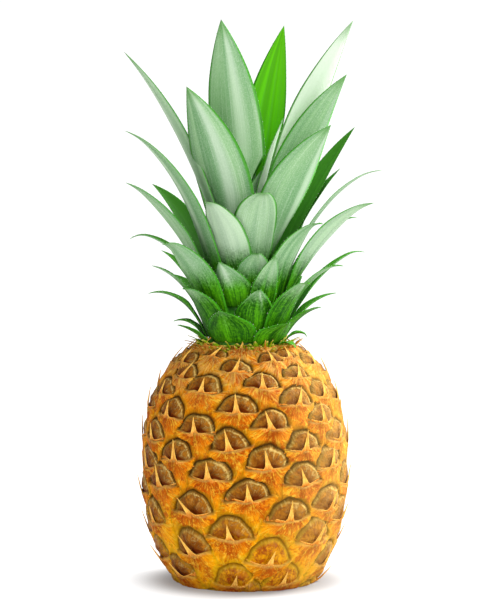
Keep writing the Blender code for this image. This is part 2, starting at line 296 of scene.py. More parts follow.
class PineappleRindSettings(bpy.types.PropertyGroup):
    """Sizes, in millimetres, and colours of the fruit's rind."""

    columns: count("Columns", "Faces round the rind", 440)
    rows: count("Rows", "Faces up the rind's side", 210)
    seed: IntProperty(name="Seed", description="Fixes the rind's random shapes", default=11)
    dome_rise: length("Dome rise", "How far an eye's dome swells out of its groove", 3.0)
    crease: length("Crease", "Depth of the folds in the rind", 0.5)
    valley: length("Valley", "Depth of the valley behind a spike", 1.1)
    roll: length("Roll", "How far a bract rolls down into the next arch's groove", 1.0)
    bract_lift: length("Bract lift", "How far a bract stands out along its free edge", 1.3)
    bract_ridge: length("Bract ridge", "How far the ridge below a spike stands out", 0.8)
    bract: colour("Bract", "Dry skin between the eyes", 234, 120, 6)
    # pale fibres, also used as painted highlights on the crests of the bracts' folds
    bract_pale: colour("Bract streaks", "Pale fibres in the dry skin", 255, 202, 58)
    # dark fibres, also used as painted shade that darkens the rind towards its base
    bract_dark: colour("Bract shade", "Dark fibres in the dry skin", 172, 64, 0)
    dome: colour("Dome", "Middle of an eye", 190, 120, 28)
    dome_shade: colour("Dome shade", "Dark blotches on an eye", 116, 58, 8)
    dome_olive: colour("Dome olive", "Grey-green brushing inside an eye's arch", 142, 112, 42)
    # red-brown stains on an eye, and the painted shade at its foot beside its spike
    dome_red_and_foot_shade: colour("Dome foot", "Foot of an eye, beside its spike", 104, 40, 0)
    # a painted highlight inside an eye's arch, stronger on its lighter right side, with pale brushing
    # there too
    dome_pale_and_highlight: colour("Dome rim", "Waxy light band inside an eye's arch", 232, 196, 112)
    groove: colour("Groove", "Deep line round an eye's arch", 58, 32, 2)
    # painted shadow on the dry skin just outside an eye's arch
    olive: colour("Olive", "Soft dark skin beside the groove", 96, 66, 2)
    border: colour("Border", "Yellow-green skin outside an eye's arch", 170, 116, 0)
    lime: colour("Lime", "Yellow-green skin round the lowest eyes", 214, 170, 10)
    # bleached dry skin round the crown, and the painted light that makes the fruit's right side paler
    paper: colour("Paper", "Bleached dry skin round the crown", 242, 196, 104)
    ripe: colour("Ripe", "Golden skin far from the spikes", 255, 178, 2)
    scar: colour("Stalk scar", "Cut stalk in the middle of the base", 196, 164, 112)


class PineappleBractSettings(bpy.types.PropertyGroup):
    """Sizes, in millimetres, and colours of the free edges and spikes of the dry bracts."""

    seed: IntProperty(name="Seed", description="Fixes the bracts' random shapes", default=5)
    spike: length("Spike", "Length of a bract's spike", 12.0)
    spike_width: length("Spike width", "Width of the spike at its foot", 6.0)
    reach: length("Reach", "How far a bract's free edge reaches to each side", 14.0)
    lift: length("Lift", "How far the free edge stands off the rind", 0.3)
    curl: length("Curl", "How far the spike's tip curls outwards", 0.7)
    thickness: length("Thickness", "Thickness of the papery bract", 0.3)
    pale: colour("Spike", "Dry tip and edges", 250, 198, 92)
    body: colour("Body", "Foot of the papery sheet", 200, 100, 8)


class PineappleCrownSettings(bpy.types.PropertyGroup):
    """Sizes, in millimetres, and colours of the crown."""

    stations: count("Stations", "Faces along a leaf", 44)
    strips: count("Strips", "Faces across each side of a leaf", 14)
    thickness: length("Thickness", "Thickness of a leaf at its foot", 1.1)
    tip_thickness: length("Tip thickness", "Thickness of a leaf near its tip", 0.35)
    tooth_spacing: length("Tooth spacing", "Gap from one marginal tooth to the next", 2.6)
    tooth: length("Tooth", "Length of a marginal tooth", 0.6)
    seed: IntProperty(name="Seed", description="Fixes the teeth and fibres", default=3)
    outer: colour("Outer face", "Waxy pale green of a leaf's outer face", 136, 178, 126)
    outer_shade: colour("Outer streaks", "Darker lengthwise streaks", 92, 144, 90)
    wax: colour("Wax", "Palest bloom", 218, 232, 212)
    deep: colour("Deep green", "Leaf feet and low scales", 13, 72, 0)
    fresh: colour("Fresh green", "Bright streaks of the low scales", 92, 180, 4)
    margin: colour("Margin", "Thin saturated line along a leaf's margins", 66, 158, 20)
    inner: colour("Inner face", "Dark green of an inner face", 60, 124, 36)
    # painted backlight on an inner face, and the brighter green of a young leaf
    inner_young_and_backlit: colour("Young inner face", "Bright green of a young inner face", 104, 208, 8)
    tip: colour("Tip", "Green of a leaf's tip", 70, 140, 40)


class PineappleCollarSettings(bpy.types.PropertyGroup):
    """Sizes, in millimetres, and colours of the small scales and dry fibres round the crown's foot."""

    seed: IntProperty(name="Seed", description="Fixes the collar's random shapes", default=8)
    scales: count("Scales", "Scales in the collar's lowest row", 34)
    fibres: count("Fibres", "Dry fibres round the collar", 26)
    length: length("Length", "Length of a scale", 3.2)
    width: length("Width", "Width of a scale", 3.6)
    fibre_length: length("Fibre length", "Length of a dry fibre", 6.5)
    fibre_width: length("Fibre width", "Width of a dry fibre", 1.3)
    thickness: length("Thickness", "Thickness of a scale", 0.35)
    green: colour("Green", "Scales next to the crown", 122, 160, 6)
    straw: colour("Straw", "Pale dry tips", 232, 190, 108)
    brown: colour("Brown", "Dry scales and fibres", 172, 100, 18)


class PineappleStageSettings(bpy.types.PropertyGroup):
    """Camera, floor and lights."""

    elevation: FloatProperty(
        name="Elevation", description="Camera's angle above the horizon", subtype="ANGLE",
        default=math.radians(6),
    )
    distance: metres("Distance", "Camera's distance from its target", 2.5)
    view_height: metres("View height", "Height of the slice of space that fills the view", 0.378)
    target: metres("Target", "Height that the camera looks at", 0.1713)
    ambient: FloatProperty(name="Ambient", description="Strength of the white surround", default=0.54)
    key: FloatProperty(name="Key", description="Power of the right rear light in watts", default=22.0)
    fill: FloatProperty(name="Fill", description="Power of the front light in watts", default=9.0)
    floor: colour("Floor", "Pale floor", 130, 130, 130)


class PineappleSettings(bpy.types.PropertyGroup):
    """Everything that a user would change."""

    rind: PointerProperty(type=PineappleRindSettings)
    bracts: PointerProperty(type=PineappleBractSettings)
    collar: PointerProperty(type=PineappleCollarSettings)
    crown: PointerProperty(type=PineappleCrownSettings)
    stage: PointerProperty(type=PineappleStageSettings)


# ---------------------------------------------------------------- node trees


class Value:
    """One output socket of a node, so that maths on it reads as Python."""

    def __init__(self, nodes, socket):
        self.nodes = nodes
        self.socket = socket

    def __abs__(self):
        return self.nodes.maths("ABSOLUTE", self)


def give_sign(name, operation):
    """Lets a Value stand on either side of one of Python's signs."""
    setattr(Value, f"__{name}__", lambda one, other: one.nodes.maths(operation, one, other))
    setattr(Value, f"__r{name}__", lambda one, other: one.nodes.maths(operation, other, one))


for _name, _operation in (
    ("add", "ADD"), ("sub", "SUBTRACT"), ("mul", "MULTIPLY"), ("truediv", "DIVIDE"), ("pow", "POWER"),
):
    give_sign(_name, _operation)


class Nodes:
    """Adds nodes to one tree, for a material, a world or a Geometry Nodes modifier."""

    def __init__(self, tree):
        self.tree = tree

    def add(self, kind, settings=None, values=None, out=0):
        """A node of a type, its settings first and then its sockets' values or links.

        It gives the output named or numbered by out, several of them for a tuple, or the node for None.
        """
        node = self.tree.nodes.new(kind)
        done = len(self.tree.nodes)
        node.location = (done // 6 * 190, -(done % 6) * 190)
        for name, value in (settings or {}).items():
            setattr(node, name, value)
        for name, value in (values or {}).items():
            if isinstance(value, Value):
                self.tree.links.new(value.socket, node.inputs[name])
            elif value is not None:
                node.inputs[name].default_value = value
        if out is None:
            return node
        if isinstance(out, tuple):
            return tuple(Value(self, node.outputs[name]) for name in out)
        return Value(self, node.outputs[out])

    def maths(self, operation, *terms):
        return self.add("ShaderNodeMath", {"operation": operation}, dict(enumerate(terms)))

    def most(self, a, b):
        return self.maths("MAXIMUM", a, b)

    def hypot(self, a, b):
        return self.maths("SQRT", a * a + b * b)

    def rise(self, value, low, high):
        """0 where the value is at low, 1 where it is at high, and smooth between."""
        return self.add(
            "ShaderNodeMapRange", {"interpolation_type": "SMOOTHSTEP"},
            {"Value": value, "From Min": low, "From Max": high},
        )

    def band(self, value, middle, half_width):
        """1 where the value is at the middle, falling smoothly to 0 at half_width to either side."""
        return self.rise(abs(value - middle), half_width, 0.0)

    def mix(self, factor, first, second):
        """A mix of two colours, each a socket or three linear shares."""
        first, second = (c if isinstance(c, Value) else (*c, 1.0) for c in (first, second))
        settings = {"data_type": "RGBA", "clamp_factor": True}
        return self.add("ShaderNodeMix", settings, {0: factor, 6: first, 7: second}, out=2)

    def lay(self, under, over, value, low, high, share=None):
        """A colour laid over another: none of it where the value is at low, all or a share at high."""
        factor = self.rise(value, low, high)
        return self.mix(factor if share is None else factor * share, under, over)

    def layers(self, shade, *rows):
        """Colours laid over a shade, one over the other: (colour, value, low, high, share)."""
        for row in rows:
            shade = self.lay(shade, *row)
        return shade

    def vector(self, x=0.0, y=0.0, z=0.0):
        return self.add("ShaderNodeCombineXYZ", None, {"X": x, "Y": y, "Z": z})

    def split(self, vector):
        return self.add("ShaderNodeSeparateXYZ", None, {0: vector}, out=("X", "Y", "Z"))

    def noise(self, vector, scale=1.0, detail=2.0, roughness=0.5, distortion=0.0):
        return self.add(
            "ShaderNodeTexNoise", None,
            {"Vector": vector, "Scale": scale, "Detail": detail, "Roughness": roughness,
             "Distortion": distortion},
        )

    def object_place(self):
        """A point's place in the object's own space, in millimetres."""
        place = self.add("ShaderNodeTexCoord", out="Object")
        return self.add("ShaderNodeVectorMath", {"operation": "SCALE"}, {0: place, "Scale": 1 / MM})

    def from_map(self, name):
        """The two sides of a UV map."""
        return self.split(self.add("ShaderNodeUVMap", {"uv_map": name}))[:2]

    def from_mesh(self, name):
        """A number that the mesh holds under a name."""
        return self.add("ShaderNodeAttribute", {"attribute_name": name}, out="Fac")


def material_of(name, design, *settings):
    """A material whose Principled shader takes what design(nodes, *settings) gives, by socket name."""
    material = bpy.data.materials.new(name)
    material.use_nodes = True
    nodes = Nodes(material.node_tree)
    shader = material.node_tree.nodes["Principled BSDF"]
    for socket, value in design(nodes, *settings).items():
        if isinstance(value, Value):
            nodes.tree.links.new(value.socket, shader.inputs[socket])
        else:
            shader.inputs[socket].default_value = value
    return material


def bump(nodes, height, depth):
    """A normal bumped by a height that runs from 0 to 1, for a relief of depth millimetres."""
    return nodes.add("ShaderNodeBump", None, {"Height": height, "Distance": depth * MM, "Strength": 1.0})


# ---------------------------------------------------------------- pieces in common


def new_object(name, mesh, *materials):
    made = bpy.data.objects.new(name, mesh)
    bpy.context.scene.collection.objects.link(made)
    for material in materials:
        mesh.materials.append(material)
    return made


def mesh_from(name, points, faces, smooth=True):
    """A mesh of points in millimetres."""
    mesh = bpy.data.meshes.new(name)
    mesh.from_pydata((points * MM).tolist(), [], faces)
    if smooth:
        mesh.shade_smooth()
    return mesh


def loose_points(name, places, edges=(), **numbers):
    """A mesh of points without faces, with the numbers that each one holds."""
    mesh = bpy.data.meshes.new(name)
    mesh.from_pydata(places.tolist(), edges, [])
    for label, values in numbers.items():
        put_numbers(mesh, label, values)
    return mesh


def tube_faces(rows, columns):
    """Quads between rings of points, each ring closed on itself, with the row and column of each."""
    row, column = (a.ravel() for a in np.indices((rows - 1, columns)))
    here, after = row * columns + column, row * columns + (column + 1) % columns
    return np.stack([here, after, after + columns, here + columns], axis=-1), row, column


def fan_faces(ring, middle):
    """Triangles from a ring of points to one in its middle."""
    return np.stack([ring, np.roll(ring, -1), np.full(len(ring), middle)], axis=-1)


def put_numbers(mesh, name, values, domain="POINT"):
    """Keeps numbers, or three-number vectors, in a mesh under a name."""
    kind, key = ("FLOAT", "value") if np.ndim(values) == 1 else ("FLOAT_VECTOR", "vector")
    mesh.attributes.new(name, kind, domain).data.foreach_set(key, np.asarray(values, np.float32).ravel())


def made_papery(piece, thickness):
    """Smooth shading and a thickness in millimetres, for a piece made of sheets."""
    piece.data.shade_smooth()
    shell = piece.modifiers.new("thickness", "SOLIDIFY")
    shell.thickness = thickness * MM
    shell.offset = -1
    return piece


def placed(name, data, place, direction):
    """A camera or a lamp at a place, looking along a direction."""
    made = bpy.data.objects.new(name, data)
    bpy.context.scene.collection.objects.link(made)
    made.location = place
    made.rotation_mode = "QUATERNION"
    made.rotation_quaternion = direction.to_track_quat("-Z", "Y")
    return made


def part_of_fruit(piece, slot, *nodes):
    """Rides a finished piece on the one body and hides the nodes it stands for. The slot it is given is
    not used.
    """
    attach(piece, BODY)
    if nodes:
        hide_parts(*nodes)


class Grower(Nodes):
    """The nodes of a Geometry Nodes tree in the making, with its named inputs."""

    KINDS = {"Geometry": "NodeSocketGeometry", "Material": "NodeSocketMaterial", "Seed": "NodeSocketInt"}

    def __init__(self, name, *inputs):
        super().__init__(bpy.data.node_groups.new(name, "GeometryNodeTree"))
        for label in ("Geometry", "Material", "Seed", *inputs):
            kind = self.KINDS.get(label, "NodeSocketFloat")
            self.tree.interface.new_socket(label, in_out="INPUT", socket_type=kind)
        self.tree.interface.new_socket("Geometry", in_out="OUTPUT", socket_type="NodeSocketGeometry")
        self.source = self.tree.nodes.new("NodeGroupInput")

    def input(self, label):
        return Value(self, self.source.outputs[label])

    def stored(self, name, kind="FLOAT"):
        return self.add("GeometryNodeInputNamedAttribute", {"data_type": kind}, {"Name": name})

    def chance(self, low, high, salt):
        """A number from low to high for each point or instance, fixed by the seed."""
        return self.add(
            "FunctionNodeRandomValue", {"data_type": "FLOAT"},
            {2: low, 3: high, "Seed": self.input("Seed") + salt}, out=1,
        )

    def keep(self, geometry, name, value):
        """Stores a number on the geometry's points under a name."""
        return self.add(
            "GeometryNodeStoreNamedAttribute", {"data_type": "FLOAT", "domain": "POINT"},
            {"Geometry": geometry, "Name": name, "Value": value},
        )

    def place(self, geometry, *position):
        values = {"Geometry": geometry, "Position": self.vector(*position)}
        return self.add("GeometryNodeSetPosition", None, values)

    def sheet(self, columns, rows):
        """A flat grid, with its places across from -1 to 1 and along from 0 to 1."""
        sizes = {"Size X": 2.0, "Size Y": 1.0, "Vertices X": columns, "Vertices Y": rows}
        grid = self.add("GeometryNodeMeshGrid", None, sizes)
        across, along, _ = self.split(self.add("GeometryNodeInputPosition"))
        along = along + 0.5
        return self.keep(self.keep(grid, "across", across), "along", along), across, along

    def on_points(self, points, instance, rotation, scale):
        return self.add(
            "GeometryNodeInstanceOnPoints", None,
            {"Points": points, "Instance": instance, "Rotation": rotation, "Scale": scale},
        )

    def finish(self, instances):
        """Realises the instances, gives them the material, and sends them out."""
        real = self.add("GeometryNodeRealizeInstances", None, {"Geometry": instances})
        done = self.add(
            "GeometryNodeSetMaterial", None, {"Geometry": real, "Material": self.input("Material")}
        )
        self.add("NodeGroupOutput", None, {"Geometry": done}, out=None)
        return self.tree


def grown(base, tree, **values):
    """The base object with its mesh made plain from what the tree grows on it."""
    modifier = base.modifiers.new(tree.name, "NODES")
    modifier.node_group = tree
    for socket in tree.interface.items_tree:
        label = socket.name.lower().replace(" ", "_")
        if socket.in_out == "INPUT" and label in values:
            modifier[socket.identifier] = values[label]
    graph = bpy.context.evaluated_depsgraph_get()
    mesh = bpy.data.meshes.new_from_object(
        base.evaluated_get(graph), preserve_all_data_layers=True, depsgraph=graph
    )
    base.modifiers.remove(modifier)
    base.data = mesh
    if not mesh.polygons:
        raise RuntimeError(f"{base.name} has grown nothing")
    return base


# ---------------------------------------------------------------- the fruit's form


def eye_rise(share):
    """The climb from one eye to the next, at a share of the way up the fruit."""
    return EYE_RISE_FOOT + (EYE_RISE_TOP - EYE_RISE_FOOT) * share


class Barrel:
    """The fruit's even form: two superellipses turned round the axis, measured up their side."""

    def __init__(self):
        foot, top = WIDEST_HEIGHT - FOOT_REACH, WIDEST_HEIGHT + SHOULDER_REACH
        self.heights = np.linspace(foot, top, MERIDIAN_STEPS)
        above = self.heights >= WIDEST_HEIGHT
        reach = np.where(above, SHOULDER_REACH, FOOT_REACH)
        power = np.where(above, SHOULDER_POWER, FOOT_POWER)
        share = np.minimum(1, np.abs(self.heights - WIDEST_HEIGHT) / reach)
        self.radii = FRUIT_RADIUS * (1 - share**power) ** (1 / power)
        steps = np.diff(self.heights), np.diff(self.radii)
        run = np.hypot(*steps)
        middle = np.clip((self.heights[1:] + self.heights[:-1]) / 2 / FRUIT_HEIGHT, 0, 1)
        self.sides = self.from_base(run)
        self.eyes = self.from_base(run / eye_rise(middle))
        self.lean = np.arctan2(steps[1], steps[0])
        self.top = float(np.interp(FRUIT_HEIGHT, self.heights, self.sides))

    def from_base(self, steps):
        """The steps up the side added up, from the height 0."""
        totals = np.concatenate([[0.0], np.cumsum(steps)])
        return totals - np.interp(0.0, self.heights, totals)

    def radius(self, side):
        return np.interp(side, self.sides, self.radii)

    def points(self, turn, side, out):
        """Points at a turn and a side, standing out from the barrel by some millimetres."""
        lean = np.interp(side, self.sides[1:], self.lean)
        radius = self.radius(side) + out * np.cos(lean)
        height = np.interp(side, self.sides, self.heights) - out * np.sin(lean)
        return np.stack([radius * np.sin(turn), -radius * np.cos(turn), height], axis=-1)


class Eyes:
    """Where each eye is on the barrel, and how its own shape differs from the even one."""

    def __init__(self, barrel, seed):
        self.barrel = barrel
        self.numbers = np.arange(LOWEST_EYE, HIGHEST_EYE)
        total = len(self.numbers)
        dice = np.random.default_rng(seed)
        side = np.interp(self.numbers, barrel.eyes, barrel.sides) + FIRST_EYE_SIDE
        side += np.minimum(0, self.numbers - barrel.eyes[0])
        radius = np.maximum(LEAST_EYE_RADIUS, barrel.radius(side))
        middle = np.clip(self.numbers / np.interp(barrel.top, barrel.sides, barrel.eyes), 0, 1)
        rise = eye_rise(middle)
        usual = FRUIT_RADIUS * (EYE_RISE_FOOT + EYE_RISE_TOP) / 2
        self.size = np.sqrt(radius * rise / usual)
        pushes = dice.normal(0, PUSH, (total, 2)).clip(-MOST_PUSH, MOST_PUSH)
        leans = dice.normal(0, LEAN, total)
        for number, (aside, up, lean) in FRONT_EYES.items():
            pushes[number - LOWEST_EYE] = aside, up
            leans[number - LOWEST_EYE] = lean
        self.lean = np.tan(np.radians(leans))
        self.turn = FIRST_EYE_TURN - TAU * DIVERGENCE * self.numbers + pushes[:, 0] / radius
        self.side = side + pushes[:, 1]
        self.wide = dice.uniform(*EYE_WIDTHS, total)
        self.tall = dice.uniform(*EYE_HEIGHTS, total) * (
            1 + LOW_EYES_TALLER - LOW_EYES_TALLER * smooth(20, 60, side)
        )
        self.tilt = dice.normal(0, TILT, total)
        self.chance = dice.uniform(0, 1, total)

    def within(self, k, turn, side):
        """A place in eye k's own millimetres: across it, and up from its spike's foot."""
        across = self.barrel.radius(side) * ((turn - self.turn[k] + math.pi) % TAU - math.pi)
        up = side - self.side[k]
        c, s = np.cos(self.tilt[k]), np.sin(self.tilt[k])
        across, up = across * c + up * s, up * c - across * s
        return across / self.size[k] / self.wide[k], up / self.size[k] / self.tall[k]

    def nearest(self, gauge, turn, side):
        """Which eye each place belongs to, the one whose gauge is least, and how clearly it is so."""
        best = np.full(turn.shape, np.inf)
        second = best.copy()
        owner = np.zeros(turn.shape, int)
        for k in range(len(self.numbers)):
            value = gauge(*self.within(k, turn, side))
            nearer = value < best
            second = np.where(nearer, best, np.minimum(second, value))
            best[nearer] = value[nearer]
            owner[nearer] = k
        return owner, second - best


def wing(across):
    """Height of a bract's free edge above its spike's foot."""
    return WING_FOOT + WING_CURVE * across * across


def dome_gauge(across, up):
    """1 along a dome's arch, less inside it and more outside."""
    return np.hypot(across / DOME_HALF_WIDTH, up / np.where(up > 0, DOME_HEIGHT, DOME_SKIRT))


def bract_gauge(across, up):
    """Least where a bract lies, below its free edge."""
    below = wing(across) - up
    inside = np.hypot(across / BRACT_HALF_WIDTH, np.maximum(below, 0) / BRACT_REACH)
    return inside + np.maximum(-below, 0)


def smooth(low, high, value):
    share = np.clip((value - low) / (high - low), 0, 1)
    return share * share * (3 - 2 * share)


def wandered(turn, side):
    """A place moved a little, in slow waves, so that no line on the rind is a perfect curve."""
    aside, up = (
        sum(size * np.sin(many * turn + side / climb + start) for size, many, climb, start in waves)
        for waves in WAVES
    )
    return turn + aside / FRUIT_RADIUS, side + up


def crumpled(across, up, chance):
    """Uneven folds, from about -1 to 1 and some millimetres wide, that differ from eye to eye."""
    total = 0
    for number, (size, share) in enumerate(FOLDS, 1):
        phase = chance * 37 * number
        first = np.sin((across + 0.6 * up) / size * 2.2 + phase)
        total = total + share * first * np.sin((up - 0.5 * across) / size * 2.6 + phase * 1.7)
        total = total + share * 0.5 * np.sin((across * 0.3 - up) / size * 3.1 - phase)
    return total


def relief(rind, dome, dome_clear, bract, bract_clear, dome_chance, bract_chance):
    """How far the rind stands out from the barrel, from a place in its dome's eye and its bract's."""
    across, up = dome
    oval = np.hypot(across / DOME_HALF_WIDTH, (up - DOME_MIDDLE) / DOME_HALF_RISE)
    swell = GROOVE_LEVEL + rind.dome_rise * (1 - np.minimum(oval, 1.05) ** 2.4)
    inside = (1 - dome_gauge(across, up)) * DOME_HEIGHT
    swell -= rind.valley * np.exp(-((across / 2.0) ** 2)) * smooth(11, 3, up)
    swell += rind.crease * np.exp(-(((inside - 1.8) / 0.9) ** 2)) * smooth(0, 4, up)
    swell += rind.crease * crumpled(across, up, dome_chance) * smooth(0.5, 3, inside)
    clear = smooth(0, CLEAR_AT, dome_clear)
    mask = smooth(-0.7, 0.3, inside) * smooth(-0.5, 0.6, up - wing(across)) * clear
    away, rise = bract
    below = np.maximum(0, wing(away) - rise)
    sides = np.clip(1 - (away / BRACT_HALF_WIDTH) ** 2, 0, 1)
    sheet = BRACT_LEVEL + rind.bract_lift * np.exp(-below / 4.5) * sides
    sheet += rind.bract_ridge * np.exp(-((away / 2.2) ** 2)) * np.exp(-below / 7)
    way = np.arctan2(away, below + 5)
    sheet += rind.crease * 0.9 * crumpled(way * 15, below * 0.25, bract_chance) * smooth(0, 3, below)
    near_arch = np.exp(-np.maximum(-inside, 0) / 1.2) * smooth(0, 4, up) * clear
    sheet -= rind.roll * np.maximum(near_arch, 0.6 * np.exp(-bract_clear / 0.07) * smooth(1, 5, below))
    return sheet + (swell - sheet) * mask


def skin_mesh(rind):
    """The rind as one closed mesh, with a place in its dome's eye and its bract's for every corner."""
    barrel = Barrel()
    eyes = Eyes(barrel, rind.seed)
    columns, rows = rind.columns, rind.rows
    turns, sides = TAU * np.arange(columns + 1) / columns, np.linspace(0, barrel.top, rows + 1)
    turn, side = np.meshgrid(turns, sides)
    moved = wandered(turn, side)
    dome_of, dome_clear = eyes.nearest(dome_gauge, *moved)
    bract_of, bract_clear = eyes.nearest(bract_gauge, *moved)
    out = relief(
        rind, eyes.within(dome_of, *moved), dome_clear, eyes.within(bract_of, *moved), bract_clear,
        eyes.chance[dome_of], eyes.chance[bract_of],
    )
    out[:, -1] = out[:, 0]
    points = barrel.points(turn, side, out)[:, :-1]
    points[..., 2] = np.maximum(points[..., 2], 0)
    points[0, :, 2] = 0
    edge = points[0] / np.hypot(points[0, :, :1], points[0, :, 1:2])
    rings = [edge * (radius, radius, 0) + (0, 0, height) for radius, height in BASE_RINGS]
    grid = np.concatenate([rings[::-1], points])
    flat = np.concatenate([grid.reshape(-1, 3), [(0, 0, BASE_RINGS[-1][1]), (0, 0, FRUIT_HEIGHT)]])
    ring = np.arange(columns)
    faces = (
        tube_faces(len(grid), columns)[0], fan_faces(ring[::-1], grid.size // 3),
        fan_faces(ring + (len(grid) - 1) * columns, grid.size // 3 + 1),
    )
    mesh = mesh_from("fruit_skin", flat, [face for some in faces for face in some.tolist()])

    start = len(BASE_RINGS) * columns
    centre = [(a[:-1, :-1] + a[1:, 1:]) / 2 for a in moved]
    corner = [np.stack([a[:-1, :-1], a[:-1, 1:], a[1:, 1:], a[1:, :-1]], axis=-1) for a in moved]
    for name, gauge, clear in (("dome", dome_gauge, dome_clear), ("bract", bract_gauge, bract_clear)):
        owner, _ = eyes.nearest(gauge, *centre)
        places = np.stack(eyes.within(owner[..., None], *corner), axis=-1).reshape(-1, 2)
        everywhere = np.full((len(mesh.loops), 2), OFF_THE_RIND, np.float32)
        everywhere[start * 4:start * 4 + len(places)] = places
        mesh.uv_layers.new(name=name).data.foreach_set("uv", everywhere.ravel())
        chances = np.full(len(mesh.polygons), 0.5, np.float32)
        chances[start:start + owner.size] = eyes.chance[owner].ravel()
        put_numbers(mesh, name + "_chance", chances, "FACE")
        clears = np.zeros(len(flat))
        clears[start:start + clear[:, :-1].size] = clear[:, :-1].ravel()
        put_numbers(mesh, name + "_clear", clears)
    return mesh


def skin_design(nodes, rind):
    """The rind's finish: domes in dark grooves, with painted highlights and painted shade, between dry
    orange bracts full of fibres.
    """
    rise, mix, lay, noise = nodes.rise, nodes.mix, nodes.lay, nodes.noise
    place = nodes.object_place()
    x, y, z = nodes.split(place)
    across, up = nodes.from_map("dome")
    away, height = nodes.from_map("bract")
    chance = nodes.from_mesh("dome_chance")
    bract_chance = nodes.from_mesh("bract_chance")
    low = rise(z, 75.0, 5.0)

    # the dry bract: fibres that spread from its spike
    below = WING_FOOT + WING_CURVE * away * away - height
    depth = nodes.most(below, 0.0)
    way = nodes.maths("ARCTAN2", away, depth + 5.0)
    reach = nodes.hypot(away, depth)
    fibres = noise(nodes.vector(way * 13.0, depth * 0.1, bract_chance * 40.0), 1.0, 3.0, 0.6, 0.4)
    folds = noise(nodes.vector(way * 5.5, depth * 0.16, bract_chance * 23.0), 1.0, 4.0, 0.62, 0.7)
    patches = noise(place, 0.14, 4.0, 0.65)
    sheet = mix(rise(reach + folds * 14.0, 6.0, 19.0) * 0.75 + 0.25, rind.bract_dark, rind.bract)
    sheet = nodes.layers(
        sheet,
        (rind.ripe, reach + patches * 16.0, 15.0 - low * 5.0, 24.0, 0.4 + low * 0.5),
        # painted highlight: pale on the crests of the folds
        (rind.bract_pale, folds, 0.55, 0.62, 0.7),
        (rind.bract_dark, patches, 0.48, 0.4, 0.7 - low * 0.2),
        (rind.bract_pale, noise(place, 0.5, 4.0, 0.7), 0.54, 0.64, 0.5 + low * 0.3),
    )
    threads = noise(nodes.vector(way * 30.0, depth * 0.22, bract_chance * 60.0), 1.0, 3.0, 0.65, 0.6)
    bright = rise(threads, 0.53, 0.66) * rise(reach, 20.0, 6.0) * (0.6 - low * 0.3)
    sheet = mix(bright, sheet, rind.bract_pale)
    sheet = lay(sheet, rind.bract_dark, threads, 0.46, 0.36, 0.5 - low * 0.3)
    sheet = lay(sheet, rind.bract_dark, fibres, 0.45, 0.35, 0.35)
    papery = rise(depth + folds * 2.0, 3.2, 1.2) * rise(abs(away), 17.0, 12.0) * rise(height, -6.0, -3.0)
    sheet = mix(papery * 0.55, sheet, rind.paper)
    dry = rise(z + folds * 36.0, 128.0, 160.0) * rise(fibres, 0.4, 0.6)
    sheet = mix(dry * 0.6, sheet, rind.paper)
    # painted shade: the rind darkens towards its base
    sheet = lay(sheet, rind.bract_dark, z + patches * 14.0, 17.0, 7.0, 0.5)

    # the dome: brown, with painted red-brown shade beside its spike, brushed with olive inside its arch,
    # and a painted highlight band inside its arch on its lighter side
    gauge = nodes.hypot(across / DOME_HALF_WIDTH, nodes.most(up, 0.0) / DOME_HEIGHT)
    inside = (1.0 - gauge) * DOME_HEIGHT
    clear = rise(nodes.from_mesh("dome_clear"), 0.0, 0.08)
    crumple = noise(nodes.vector(across * 0.36, up * 0.36, chance * 31.0), 1.0, 5.0, 0.62, 0.9)
    spread = nodes.maths("ARCTAN2", across, up + 2.0)
    brushed = noise(nodes.vector(spread * 8.0, inside * 0.2, chance * 17.0), 1.0, 4.0, 0.65, 0.5)
    # painted light: each eye is painted lighter on its right side and towards its top
    painted_light_side = rise(across + up * 0.3 + crumple * 6.0 - 3.0, -3.0, 9.0)
    stains = noise(nodes.vector(across * 0.13, up * 0.13, chance * 9.0 + 3.0), 1.0, 3.0, 0.6, 0.6)
    dome = nodes.layers(
        rind.dome,
        (rind.dome_shade, crumple, 0.42, 0.6, 0.8),
        (rind.dome_red_and_foot_shade, stains, 0.48, 0.62, 0.5),
        # painted highlight: pale patches and brushing, more of them on each eye's lighter side
        (rind.dome_pale_and_highlight, crumple - stains * 0.3, 0.34, 0.5, 0.1 + painted_light_side * 0.35),
        (rind.dome_olive, stains, 0.46, 0.34, 0.5),
        (rind.dome_pale_and_highlight, brushed, 0.52, 0.68, 0.12 + painted_light_side * 0.4),
    )
    near_arch = rise(inside + crumple * 3.0, 5.4, 2.2)
    # olive inside the arch, more of it on each eye's left: partly real brushing, partly painted shade
    dome = mix(near_arch * (0.85 - painted_light_side * 0.5), dome, rind.dome_olive)
    dome = mix(near_arch * rise(brushed, 0.5, 0.64) * 0.4, dome, rind.dome_pale_and_highlight)
    # painted shade: dark red-brown at an eye's foot, beside its spike and just above it
    foot = rise(up + crumple * 4.0, 12.5, 3.5) * rise(abs(across), 10.5, 2.0) + rise(up, 3.6, 0.8) * 0.8
    dome = mix(foot * 0.95, dome, rind.dome_red_and_foot_shade)
    # painted highlight: a pale band inside the arch on each eye's lighter side
    rim_highlight = nodes.band(inside, 1.3 + crumple * 1.6, 0.8) * painted_light_side * rise(brushed, 0.36, 0.5)
    dome = mix(rim_highlight * 0.9, dome, lay(rind.dome_pale_and_highlight, rind.border, z, 60.0, 20.0))
    juicy = lay(rind.ripe, rind.bract_dark, crumple + stains * 0.6, 0.6, 1.0)
    juicy = lay(juicy, rind.lime, inside + crumple * 2.0, 4.6, 2.0, 0.8)
    dome = mix(rise(z, 62.0, 20.0) * rise(chance, 0.0, 0.8) * 0.75, dome, juicy)
    line = mix(low * 0.75, rind.groove, rind.border)
    dome = lay(dome, line, inside + crumple, 2.2, 0.6, 0.92)

